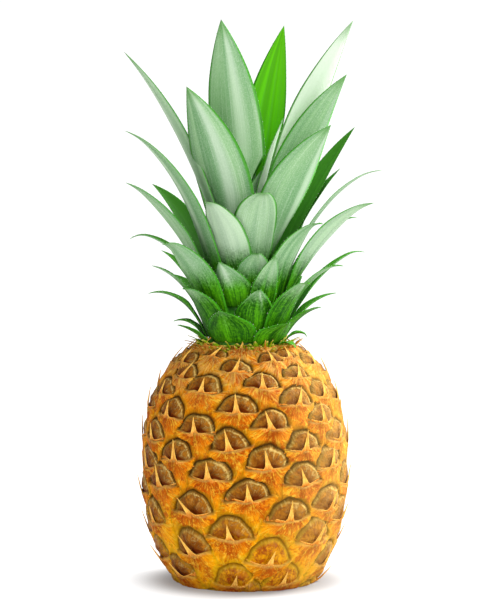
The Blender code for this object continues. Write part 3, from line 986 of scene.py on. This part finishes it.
    # the yellow-green skin outside an arch, and along the seams where bracts meet, with painted shadow
    # just outside an arch
    outside = inside * -1.0
    meeting = nodes.from_mesh("bract_clear") + patches * 0.16
    round_arch = rise(outside, 5.6, 1.4) * rise(up, -1.0, 5.0) * clear
    along_seam = rise(meeting, 0.34, 0.12) * rise(depth, 2.5, 7.0)
    green = nodes.most(round_arch, along_seam) * rise(patches, 0.34, 0.5) * rise(z, 165.0, 70.0)
    sheet = mix(green * 0.6, sheet, mix(low, rind.border, rind.lime))
    # painted shadow on the bract just outside an eye's arch
    shadow = rise(outside + crumple, 4.2, 0.4) * rise(up, 0.0, 4.0) * clear
    sheet = mix(shadow * (0.45 - low * 0.35), sheet, rind.olive)
    arch_line = rise(outside + crumple, 1.9, 0.4) * rise(up, 0.0, 3.0) * clear
    seam_line = rise(meeting, 0.14, 0.06) * rise(depth, 2.5, 7.0) * 0.7
    sheet = mix(nodes.most(arch_line, seam_line) * 0.85, sheet, line)
    is_dome = rise(inside, -0.25, 0.15) * rise(up - WING_FOOT - WING_CURVE * across * across, -0.2, 0.2)
    is_dome = is_dome * clear
    skin = mix(is_dome, sheet, dome)

    # painted light: the fruit's right side is painted paler, where the light falls
    skin = lay(skin, rind.paper, x + patches * 30.0, 20.0, 75.0, 0.23)

    # the base, with its cut stalk
    middle = nodes.hypot(x, y)
    under = rise(z, 3.2, 2.6) * rise(middle, 41.0, 39.0)
    rings = noise(nodes.vector(middle * 0.5, nodes.maths("ARCTAN2", x, y) * 3.0, 0.0), 1.0, 4.0)
    base = lay(mix(rings, rind.bract_dark, rind.bract), rind.scar, middle, 15.5, 14.0)
    base = lay(base, rind.bract_dark, rings, 0.5, 0.7, 0.5)
    skin = mix(under, skin, base)

    wrinkles = is_dome * (crumple + brushed * 0.5) + (1.0 - is_dome) * (threads * 0.5 + folds)
    return {
        "Base Color": skin,
        "Roughness": 0.62 - is_dome * 0.2 + fibres * 0.1,
        "Normal": bump(nodes, wrinkles, RIND_BUMP),
        "Specular IOR Level": RIND_GLOSS,
    }


# ---------------------------------------------------------------- bracts


def bract_tree():
    """Sheets with a spike and two wings, one on each point, laid out flat as if unrolled."""
    nodes = Grower("dry_bracts", "Spike", "Spike Width", "Reach", "Lift", "Curl")
    spike, width, reach = map(nodes.input, ("Spike", "Spike Width", "Reach"))
    sheet, across, along = nodes.sheet(*BRACT_GRID)
    aside = across * abs(across) * reach
    edge = WING_FOOT + WING_CURVE * aside * aside
    slope = nodes.most(0.0, 1.0 - abs(aside) * 2.0 / width)
    foot = edge - BRACT_ROOT - slope * BRACT_ROOT
    up = foot + along * (edge + spike * slope**2.0 - foot)
    beyond = nodes.most(0.0, up - edge) / spike
    free_edge = BRACT_STAND + nodes.input("Lift") + slope * 1.4 - across**4.0 * 3.2
    out = BRACT_ROOT_STAND + (free_edge - BRACT_ROOT_STAND) * along**0.7
    out = out + beyond * beyond * nodes.input("Curl")
    sheet = nodes.place(nodes.keep(sheet, "beyond", beyond), aside, up, out)
    turned = nodes.vector(0.0, 0.0, nodes.chance(-0.16, 0.16, 0))
    size = nodes.stored("size")
    scale = nodes.vector(
        size * nodes.stored("stretch"), size * nodes.chance(0.8, 1.15, 1), nodes.chance(0.8, 1.25, 2)
    )
    many = nodes.on_points(nodes.input("Geometry"), sheet, turned, scale)
    real = nodes.add("GeometryNodeRealizeInstances", None, {"Geometry": many})
    x, y, z = nodes.split(nodes.add("GeometryNodeInputPosition"))
    leaning = nodes.stored("lean") * nodes.stored("beyond") * spike
    return nodes.finish(nodes.place(real, x + leaning, y, z))


def wrap_round_fruit(mesh, barrel):
    """Rolls a flat layout, turn along X, side along Y and out along Z, round the barrel."""
    flat = np.empty(len(mesh.vertices) * 3, np.float32)
    mesh.vertices.foreach_get("co", flat)
    flat = flat.reshape(-1, 3).astype(float)
    turn, side = flat[:, 0] / FRUIT_RADIUS, flat[:, 1]
    points = barrel.points(turn, side, flat[:, 2]) * MM
    points[:, 2] = np.maximum(points[:, 2], LEAST_HEIGHT)
    mesh.vertices.foreach_set("co", points.astype(np.float32).ravel())
    mesh.update()


def bract_design(nodes, bracts):
    """Dry paper: pale and bleached at the spike's tip, tan with fibres at its foot."""
    rise, mix, lay, noise = nodes.rise, nodes.mix, nodes.lay, nodes.noise
    across = nodes.from_mesh("across")
    along = nodes.from_mesh("along")
    place = nodes.object_place()
    fibres = noise(nodes.vector(across * 22.0, along * 2.0, noise(place, 0.05) * 30.0))
    blotches = noise(place, 0.35, 3.0)
    edge = rise(along + fibres * 0.3, 0.9, 1.15)
    tip = rise(nodes.from_mesh("beyond") + fibres * 0.4, 0.05, 0.55)
    tint = mix(nodes.most(edge * 0.8, tip), bracts.body, bracts.pale)
    tint = lay(tint, bracts.body, fibres, 0.52, 0.36, 0.6)
    tint = lay(tint, bracts.body, blotches, 0.5, 0.75, 0.4)
    return {
        "Base Color": tint,
        "Roughness": 0.6 + fibres * 0.15,
        "Normal": bump(nodes, fibres, PAPER_BUMP),
        "Specular IOR Level": PAPER_GLOSS,
    }


# ---------------------------------------------------------------- collar


def scale_tree(name):
    """A narrow pointed scale on each point, turned outwards and curled, with its own size and lean."""
    nodes = Grower(name, "Length", "Width", "Curl")
    chance = nodes.chance
    length, width, curl = map(nodes.input, ("Length", "Width", "Curl"))
    scale, across, along = nodes.sheet(*SCALE_GRID)
    half = width * 0.5 * (1.02 - along**1.7)
    bow = across * across * -0.16 * width
    bend = along * along * curl * length
    scale = nodes.place(scale, across * half, bow + bend, along * length * (1.0 - bend * 20.0))
    outwards = nodes.stored("turn") + math.pi
    rotation = nodes.vector(chance(-0.5, 0.35, 0), chance(-0.35, 0.35, 1), outwards)
    size = nodes.stored("size")
    parts = ((0.7, 1.2, 2), (0.6, 1.5, 3), (0.6, 1.2, 4))
    stretch = nodes.vector(*(size * chance(*part) for part in parts))
    return nodes.finish(nodes.on_points(nodes.input("Geometry"), scale, rotation, stretch))


def ring_of_points(name, barrel, rows, dice):
    """Loose points in rows round the fruit's shoulder: (how many, how far down, size, green)."""
    made = []
    for many, down, size, green in rows:
        turns = TAU * (np.arange(many) + dice.uniform(-0.35, 0.35, many)) / many
        sides = barrel.top - down + dice.uniform(-0.9, 0.9, many)
        made.append((turns, sides, np.full(many, size), green + dice.uniform(-0.25, 0.25, many)))
    turns, sides, sizes, greens = np.concatenate(made, axis=1)
    places = barrel.points(turns, np.minimum(sides, barrel.top), SCALE_STAND)
    return loose_points(name, places * MM, turn=turns, size=sizes, green=greens)


def scale_design(nodes, collar):
    """Yellow-green or brown, drying to straw at the tip, with lengthwise streaks."""
    along, green = nodes.from_mesh("along"), nodes.from_mesh("green")
    place = nodes.object_place()
    streaks = nodes.noise(place, 0.9, 3.0, 0.6)
    tint = nodes.layers(
        collar.brown,
        (collar.green, green + streaks * 0.4, 0.45, 0.9),
        (collar.straw, along + streaks * 0.6, 0.9, 1.4, 0.7),
        (collar.brown, streaks, 0.45, 0.3, 0.5),
    )
    return {
        "Base Color": tint, "Roughness": 0.6 + streaks * 0.15, "Normal": bump(nodes, streaks, PAPER_BUMP),
        "Specular IOR Level": PAPER_GLOSS,
    }


# ---------------------------------------------------------------- leaves


def stem_radius(rise):
    return float(np.interp(rise, *zip(*STEM_OUTLINE)))


def uprightness(leaf):
    """How upright a leaf stands, which is the order that leaves grow in up the stem."""
    return -math.atan2(leaf.reach, leaf.rise - ORDER_RISE)


def leaves_in_order():
    """(node name, leaf, rise of its foot), from the lowest leaf up the stem."""
    order = sorted(LEAVES, key=uprightness)
    for number, leaf in enumerate(order, 1):
        share = ((number - 1) / (len(order) - 1)) ** CROWDING
        foot_rise = FIRST_LEAF_RISE + (LAST_LEAF_RISE - FIRST_LEAF_RISE) * share
        yield f"crown_leaf_{number:02d}", leaf, foot_rise


def spine(leaf, foot_rise):
    """(out, up, lean) arrays along a leaf's middle line, in its own upright plane."""
    t = np.linspace(0, 1, SPINE_STEPS + 1)
    bend = math.radians(leaf.arch) * t**ARCH_POWER
    bend += math.radians(leaf.hook) * smooth(HOOKED_FROM, 1.0, t)

    def summed(values):
        return np.concatenate([[0.0], np.cumsum((values[1:] + values[:-1]) / 2) / SPINE_STEPS])

    out, up = summed(np.sin(bend)), summed(np.cos(bend))
    foot_out = stem_radius(foot_rise) + GAP + LEAF_THICKNESS / 2
    go_out, go_up = leaf.reach - foot_out, leaf.rise - foot_rise
    length = math.hypot(go_out, go_up) / math.hypot(out[-1], up[-1])
    lean = math.atan2(go_out, go_up) - math.atan2(out[-1], up[-1])
    c, s = math.cos(lean), math.sin(lean)
    return foot_out + length * (out * c + up * s), foot_rise + length * (up * c - out * s), lean + bend


def blade_width(t, blunt):
    """A blade's width at shares t of its length, as a share of its full width."""
    foot = 1 - (1 - FOOT_WIDTH) * (np.clip(WIDEST_SHARE - t, 0, 1) / WIDEST_SHARE) ** 2
    tip = 1 - (np.clip(t - WIDEST_SHARE, 0, 1) / (1 - WIDEST_SHARE)) ** blunt
    return np.where(t < WIDEST_SHARE, foot, tip)


def blade_faces(leaf, foot_rise, t, u, crown, dice):
    """The outer and inner faces of a blade at shares t of its length and places u across it."""
    at = np.linspace(0, 1, SPINE_STEPS + 1)
    out, up, lean = (np.interp(t, at, values)[:, None] for values in spine(leaf, foot_rise))
    t = t[:, None]
    turn = np.radians(leaf.turn - leaf.sway * (1 - t**SWAY_POWER))
    none = np.zeros_like(turn)
    ahead = np.stack([np.sin(turn), -np.cos(turn), none], axis=-1)
    aside = np.stack([np.cos(turn), np.sin(turn), none], axis=-1)
    above = np.array([0.0, 0.0, 1.0])
    middle = ahead * out[..., None] + above * (up[..., None] + FRUIT_HEIGHT)
    width = leaf.width * leaf.spread * blade_width(t, leaf.blunt)
    free = smooth(WRAPPED_UNTIL, FREE_FROM, t)
    own = width / 2 / CHANNEL_HALF_ANGLE
    bend_radius = out + (np.minimum(out, own) - out) * free
    bend_radius += (np.maximum(bend_radius, own) - bend_radius) * leaf.open * free
    across_spine = -ahead * np.cos(lean)[..., None] + above * np.sin(lean)[..., None]
    inward = -ahead + (across_spine + ahead) * free[..., None]
    inward /= np.linalg.norm(inward, axis=-1, keepdims=True)
    full_twist = -math.copysign(1, leaf.turn) * math.radians(leaf.twist)
    twist = (full_twist * smooth(0.0, TWISTED_BY, t))[..., None]
    aside, inward = (
        aside * np.cos(twist) + inward * np.sin(twist), inward * np.cos(twist) - aside * np.sin(twist)
    )
    half_angle = np.minimum(width / 2 / np.maximum(bend_radius, 1e-6), MOST_WRAP)
    angle = u * half_angle
    depth = bend_radius * (1 - np.cos(angle))
    deepest = bend_radius * (1 - np.cos(half_angle))
    crest = leaf.crest
    fold = np.where(u < crest, (crest - u) / (1 + crest), (u - crest) / (1 - crest))
    depth += (fold * deepest * FOLD_DEPTH - depth) * leaf.keel * free
    ripples = np.sin(t * dice.uniform(*RIPPLES) + dice.uniform(0, TAU))
    ripples = ripples * np.abs(u) ** 3 * RIPPLE * free * (1 - t)
    depth = depth + ripples * np.where(u < 0, 1, dice.uniform(-1, 1))
    place = middle + aside * (bend_radius * np.sin(angle))[..., None] + inward * depth[..., None]
    normal = inward * np.cos(angle)[..., None] - aside * np.sin(angle)[..., None]
    thickness = crown.thickness + (crown.tip_thickness - crown.thickness) * t
    half = (thickness / 2 * np.sqrt(np.maximum(0, 1 - u * u)))[..., None]
    return place - normal * half, place + normal * half


def leaf_mesh(name, leaf, foot_rise, crown, dice):
    """A closed blade, with a UV map that runs across its outer face from 0 to 1 and back from 1 to 2."""
    t = np.linspace(0, 1, crown.stations + 1) ** FACES_TO_FOOT
    u = np.linspace(-1, 1, crown.strips + 1)
    outer, inner = blade_faces(leaf, foot_rise, t, u, crown, dice)
    ring = np.concatenate([outer, inner[:, -2:0:-1]], axis=1)[:-1]
    rows, columns = ring.shape[:2]
    points = np.concatenate([ring.reshape(-1, 3), outer[-1, :1]])
    marks = np.concatenate([(u + 1) / 2, (3 - u[-2:0:-1]) / 2, [2.0]])
    quads, row, column = tube_faces(rows, columns)
    corners = ((0, 0), (1, 0), (1, 1), (0, 1))
    sides = np.stack([(marks[column + i], t[row + j]) for i, j in corners]).transpose(2, 0, 1)
    near, far = marks[:-1], marks[1:]
    end, tip = np.full(columns, t[-2]), np.ones(columns)
    ends = np.stack([(near, end), (far, end), ((near + far) / 2, tip)]).transpose(2, 0, 1)
    last = np.arange(columns) + (rows - 1) * columns
    faces = [*quads.tolist(), *fan_faces(last, len(points) - 1).tolist(), list(range(columns))[::-1]]
    places = np.concatenate([sides.reshape(-1, 2), ends.reshape(-1, 2), [(0.5, 0.0)] * columns])
    mesh = mesh_from(name, points, faces)
    mesh.uv_layers.new(name="blade").data.foreach_set("uv", places.astype(np.float32).ravel())
    looks = {"chance": dice.uniform(0, 1)}
    looks |= {mark: getattr(leaf, mark) for mark in ("bloom", "shine", "vivid", "crest")}
    for mark, value in looks.items():
        put_numbers(mesh, mark, np.full(len(points), value))
    margins = np.stack([outer[:, 0], outer[:, -1]])
    away = np.stack([outer[:, 0] - outer[:, 1], outer[:, -1] - outer[:, -2]])
    return mesh, margins, away


def one_long(vectors):
    """The vectors' directions, each one long."""
    return vectors / (np.linalg.norm(vectors, axis=-1, keepdims=True) + 1e-6)


def leaf_design(nodes, crown):
    """Waxy and pale outside with fine lengthwise streaks and a painted highlight along the crest, green
    inside with painted backlight, with thin bright margins.
    """
    rise, mix, lay, noise = nodes.rise, nodes.mix, nodes.lay, nodes.noise
    place = nodes.object_place()
    z = nodes.split(place)[2]
    mark, along = nodes.from_map("blade")
    chance = nodes.from_mesh("chance")
    across = 1.0 - abs(mark - 1.0) * 2.0
    is_inner = rise(mark, 0.999, 1.001)
    fine = noise(nodes.vector(across * 26.0, along * 1.5, chance * 50.0), 1.0, 3.0, 0.7)
    broad = noise(nodes.vector(across * 3.0, along * 0.8, chance * 90.0), 1.0, 1.0)

    outer = nodes.layers(
        crown.outer,
        (crown.outer_shade, broad, 0.35, 0.65, 0.8),
        (crown.wax, fine, 0.5, 0.72, 0.28),
        (crown.wax, noise(place, 1.6, 3.0, 0.7), 0.46, 0.62, 0.22),
        (crown.outer_shade, fine, 0.48, 0.3, 0.28),
    )
    outer = mix(nodes.from_mesh("bloom"), outer, crown.wax)
    # painted highlight: a pale band along the leaf's crest
    shine = nodes.band(across - nodes.from_mesh("crest"), 0.28, 0.36) * nodes.from_mesh("shine")
    outer = mix(shine * 0.55, outer, crown.wax)
    frost = noise(place, 0.7, 4.0, 0.7)
    young = z + along * 40.0 + fine * 14.0 + frost * 26.0
    deep = rise(young, 248.0, 218.0)
    fresh = rise(fine * 0.5 + broad * 0.3 + frost * 0.4, 0.48, 0.76) * 0.8 + shine * 0.1
    low = mix(fresh, crown.deep, crown.fresh)
    frosted = rise(fine + frost * 0.5 + shine * 0.3, 0.82, 1.15) * rise(along, 0.3, 0.9)
    low = mix(frosted * 0.5, low, crown.wax)
    outer = mix(deep, outer, low)
    outer = lay(outer, crown.tip, along, 0.86, 1.0, 0.7)

    # the inner face's bright green is painted backlight, and a young leaf's brighter green
    inner = mix(nodes.from_mesh("vivid"), crown.inner, crown.inner_young_and_backlit)
    inner = lay(inner, crown.outer_shade, fine, 0.45, 0.75, 0.3)
    inner = lay(inner, crown.deep, broad, 0.6, 0.4, 0.3)
    blade = mix(is_inner, outer, inner)
    margin = rise(abs(across) + along * 0.03, 0.88, 0.95)
    blade = mix(margin * 0.85, blade, crown.margin)
    return {
        "Base Color": blade,
        "Roughness": 0.52 + fine * 0.12,
        "Normal": bump(nodes, fine, LEAF_BUMP),
        "Specular IOR Level": LEAF_GLOSS,
    }


def tooth_tree():
    """Small hooked teeth, spaced along lines and pointing where the line's aim points."""
    nodes = Grower("leaf_margin_teeth", "Spacing", "Tooth")
    line = nodes.add("GeometryNodeMeshToCurve", None, {"Mesh": nodes.input("Geometry")})
    spots = nodes.add(
        "GeometryNodeResampleCurve", {"mode": "LENGTH"},
        {"Curve": line, "Length": nodes.input("Spacing")},
    )
    tooth = nodes.add(
        "GeometryNodeMeshCone", None,
        {"Vertices": 4, "Radius Top": 0.0, "Radius Bottom": nodes.input("Tooth") * 0.3,
         "Depth": nodes.input("Tooth")},
    )
    rotation = nodes.add(
        "FunctionNodeAlignRotationToVector", {"axis": "Z"},
        {"Vector": nodes.stored("aim", "FLOAT_VECTOR")},
    )
    return nodes.finish(nodes.on_points(spots, tooth, rotation, nodes.chance(0.6, 1.1, 0)))


def plain_design(nodes, low, high, scale):
    """Two colours mixed by fine noise, with a matching bump."""
    place = nodes.object_place()
    grain = nodes.noise(place, scale, 3.0)
    return {
        "Base Color": nodes.mix(nodes.rise(grain, 0.35, 0.65), low, high),
        "Roughness": 0.5 + grain * 0.15,
        "Normal": bump(nodes, grain, 0.2),
    }


def floor_design(nodes, stage):
    """A pale floor that glows white, except for a painted shadow round the fruit's foot."""
    place = nodes.object_place()
    x, y, _ = nodes.split(place)
    near = nodes.rise(nodes.hypot(x, y), SHADE_FROM, SHADE_UNTIL)
    return {
        "Base Color": nodes.mix(nodes.noise(place, 0.01, 2.0) * 0.2, stage.floor, FLOOR_GRAIN),
        "Roughness": 0.7,
        "Emission Color": nodes.mix(near * near, FLOOR_GLOW, FLOOR_SHADE),
        "Emission Strength": 1.0,
    }


# ---------------------------------------------------------------- operators


class PINEAPPLE_OT_stage(bpy.types.Operator):
    """Sets up the camera, the pale floor, the white surround and the studio lights"""

    bl_idname = "pineapple.stage"
    bl_label = "Stage"

    def execute(self, context):
        stage = context.scene.pineapple.stage
        target = Vector((0, 0, stage.target))
        back = Vector((0, -math.cos(stage.elevation), math.sin(stage.elevation)))
        place = target + back * stage.distance
        camera = placed("camera", bpy.data.cameras.new("camera"), place, -back)
        camera.data.lens = camera.data.sensor_width * stage.distance / stage.view_height
        context.scene.camera = camera
        context.scene.view_settings.view_transform = "Standard"
        self.floor(stage)
        self.surround(context, stage)
        for name, power, (size, place) in (
            ("key_light", stage.key, KEY_LIGHT), ("fill_light", stage.fill, FILL_LIGHT),
        ):
            lamp = bpy.data.lights.new(name, "AREA")
            lamp.energy, lamp.size = power, size
            placed(name, lamp, place, target - Vector(place))
        return {"FINISHED"}

    def floor(self, stage):
        turns = TAU * np.arange(FLOOR_CORNERS) / FLOOR_CORNERS
        points = np.stack(
            [FLOOR_RADIUS * np.cos(turns), FLOOR_RADIUS * np.sin(turns), 0 * turns - FLOOR_DROP], axis=-1
        )
        mesh = mesh_from("floor", points, [list(range(FLOOR_CORNERS))], smooth=False)
        floor = new_object("floor", mesh, material_of("floor", floor_design, stage))

    def surround(self, context, stage):
        """White to the camera, and a softer white as light."""
        world = bpy.data.worlds.new("surround")
        world.use_nodes = True
        context.scene.world = world
        nodes = Nodes(world.node_tree)
        seen = nodes.add("ShaderNodeLightPath", out="Is Camera Ray")
        strength = stage.ambient + (WHITE_TO_CAMERA - stage.ambient) * seen
        background = world.node_tree.nodes["Background"]
        background.inputs["Color"].default_value = (1, 1, 1, 1)
        nodes.tree.links.new(strength.socket, background.inputs["Strength"])


class PINEAPPLE_OT_rind(bpy.types.Operator):
    """Makes the fruit's rind, with its domes, grooves and the lower skin of its bracts"""

    bl_idname = "pineapple.rind"
    bl_label = "Rind"

    def execute(self, context):
        rind = context.scene.pineapple.rind
        skin = new_object("fruit_skin", skin_mesh(rind), material_of("rind", skin_design, rind))
        part_of_fruit(skin, "fruit_skin", "fruit")
        return {"FINISHED"}


class PINEAPPLE_OT_bracts(bpy.types.Operator):
    """Makes the free papery edges of the bracts, with their spikes"""

    bl_idname = "pineapple.bracts"
    bl_label = "Bracts"

    def execute(self, context):
        rind, bracts = context.scene.pineapple.rind, context.scene.pineapple.bracts
        barrel = Barrel()
        eyes = Eyes(barrel, rind.seed)
        shown = (eyes.side > 1.0) & (eyes.side < barrel.top - 2.0)
        flat = np.stack([eyes.turn * FRUIT_RADIUS, eyes.side, 0 * eyes.side], axis=-1)[shown]
        mesh = loose_points(
            "dry_bracts", flat, size=eyes.size[shown], lean=eyes.lean[shown],
            stretch=FRUIT_RADIUS / barrel.radius(eyes.side[shown]),
        )
        names = ("spike", "spike_width", "reach", "lift", "curl")
        sizes = {name: getattr(bracts, name) for name in names}
        piece = grown(
            new_object("dry_bracts", mesh), bract_tree(), seed=bracts.seed,
            material=material_of("dry_bract", bract_design, bracts), **sizes,
        )
        wrap_round_fruit(piece.data, barrel)
        part_of_fruit(made_papery(piece, bracts.thickness), "fruit_skin")
        return {"FINISHED"}


class PINEAPPLE_OT_collar(bpy.types.Operator):
    """Makes the small scales and the curled dry fibres round the crown's foot"""

    bl_idname = "pineapple.collar"
    bl_label = "Collar"

    def execute(self, context):
        collar = context.scene.pineapple.collar
        barrel = Barrel()
        dice = np.random.default_rng(collar.seed)
        dry = material_of("collar", scale_design, collar)
        n = collar.scales
        kinds = (
            ("collar_scales", ((n, 6.5, 0.8, 0.35), (n - 4, 3.8, 1.0, 0.85), (n - 8, 1.2, 1.5, 1.0)),
             collar.length, collar.width, 0.45),
            ("collar_fibres", ((collar.fibres, 6.0, 1.0, 0.2), (collar.fibres // 2, 2.5, 1.1, 0.6)),
             collar.fibre_length, collar.fibre_width, 0.8),
        )
        for name, rows, length, width, curl in kinds:
            base = new_object(name, ring_of_points(name, barrel, rows, dice))
            piece = grown(
                base, scale_tree(name), material=dry, seed=collar.seed, length=length * MM,
                width=width * MM, curl=curl,
            )
            part_of_fruit(made_papery(piece, collar.thickness), "fruit_skin")
        return {"FINISHED"}


class PINEAPPLE_OT_crown(bpy.types.Operator):
    """Makes every crown leaf and the teeth along their margins, and gives the stem that they grow on its
    material
    """

    bl_idname = "pineapple.crown"
    bl_label = "Crown"

    def execute(self, context):
        crown = context.scene.pineapple.crown
        dice = np.random.default_rng(crown.seed)
        blade = material_of("crown_leaf", leaf_design, crown)
        lines, aims, edges = [], [], []
        for name, leaf, foot_rise in leaves_in_order():
            mesh, margins, away = leaf_mesh(name + "_blade", leaf, foot_rise, crown, dice)
            part_of_fruit(new_object(name + "_blade", mesh, blade), "crown_leaf", name)
            ahead = np.diff(margins, axis=1, append=margins[:, -1:])
            aim = one_long(away) + one_long(ahead) * TOOTH_LEAN
            keep = slice(margins.shape[1] // TEETH_FROM, TEETH_UNTIL)
            for side in range(2):
                start = sum(map(len, lines))
                lines.append(margins[side, keep])
                aims.append(aim[side, keep])
                edges += [(start + k, start + k + 1) for k in range(len(lines[-1]) - 1)]
        for number, leaf in enumerate(HEART_LEAVES, 1):
            name = f"crown_heart_leaf_{number}"
            mesh = leaf_mesh(name, leaf, HEART_FOOT_RISE, crown, dice)[0]
            part_of_fruit(new_object(name, mesh, blade), "crown_leaf")
        places = np.concatenate(lines) * MM
        mesh = loose_points("leaf_margin_teeth", places, edges, aim=np.concatenate(aims))
        horn = material_of("leaf_tooth", plain_design, crown.margin, crown.wax, 0.4)
        teeth = grown(
            new_object("leaf_margin_teeth", mesh), tooth_tree(), material=horn, seed=crown.seed,
            spacing=crown.tooth_spacing * MM, tooth=crown.tooth * MM,
        )
        part_of_fruit(teeth, "crown_leaf")
        stem = frame["nodes"]["crown_stem"]
        stem.data.materials.clear()
        stem.data.materials.append(material_of("stem", plain_design, crown.deep, crown.margin, 0.2))
        return {"FINISHED"}


class PINEAPPLE_PT_panel(bpy.types.Panel):
    """Lists the steps that make the pineapple"""

    bl_idname = "PINEAPPLE_PT_panel"
    bl_label = "Pineapple"
    bl_space_type = "VIEW_3D"
    bl_region_type = "UI"
    bl_category = "Pineapple"

    def draw(self, context):
        settings = context.scene.pineapple
        for step in STEPS:
            self.layout.operator(step.bl_idname)
        groups = (settings.rind, settings.bracts, settings.collar, settings.crown, settings.stage)
        for group in groups:
            box = self.layout.box()
            for name in group.__annotations__:
                box.prop(group, name)


STEPS = (
    PINEAPPLE_OT_stage, PINEAPPLE_OT_rind, PINEAPPLE_OT_bracts, PINEAPPLE_OT_collar, PINEAPPLE_OT_crown,
)
CLASSES = (
    PineappleRindSettings, PineappleBractSettings, PineappleCollarSettings, PineappleCrownSettings,
    PineappleStageSettings, PineappleSettings, *STEPS, PINEAPPLE_PT_panel,
)


def register():
    for kind in CLASSES:
        bpy.utils.register_class(kind)
    bpy.types.Scene.pineapple = PointerProperty(type=PineappleSettings)


def unregister():
    del bpy.types.Scene.pineapple
    for kind in reversed(CLASSES):
        bpy.utils.unregister_class(kind)


def main():
    for thing in list(bpy.data.objects):
        if thing.name in ("Cube", "Light", "Camera"):
            bpy.data.objects.remove(thing)
    register()
    bpy.ops.pineapple.stage()
    bpy.ops.pineapple.rind()
    bpy.ops.pineapple.bracts()
    bpy.ops.pineapple.collar()
    bpy.ops.pineapple.crown()


if __name__ == "__main__":
    main()
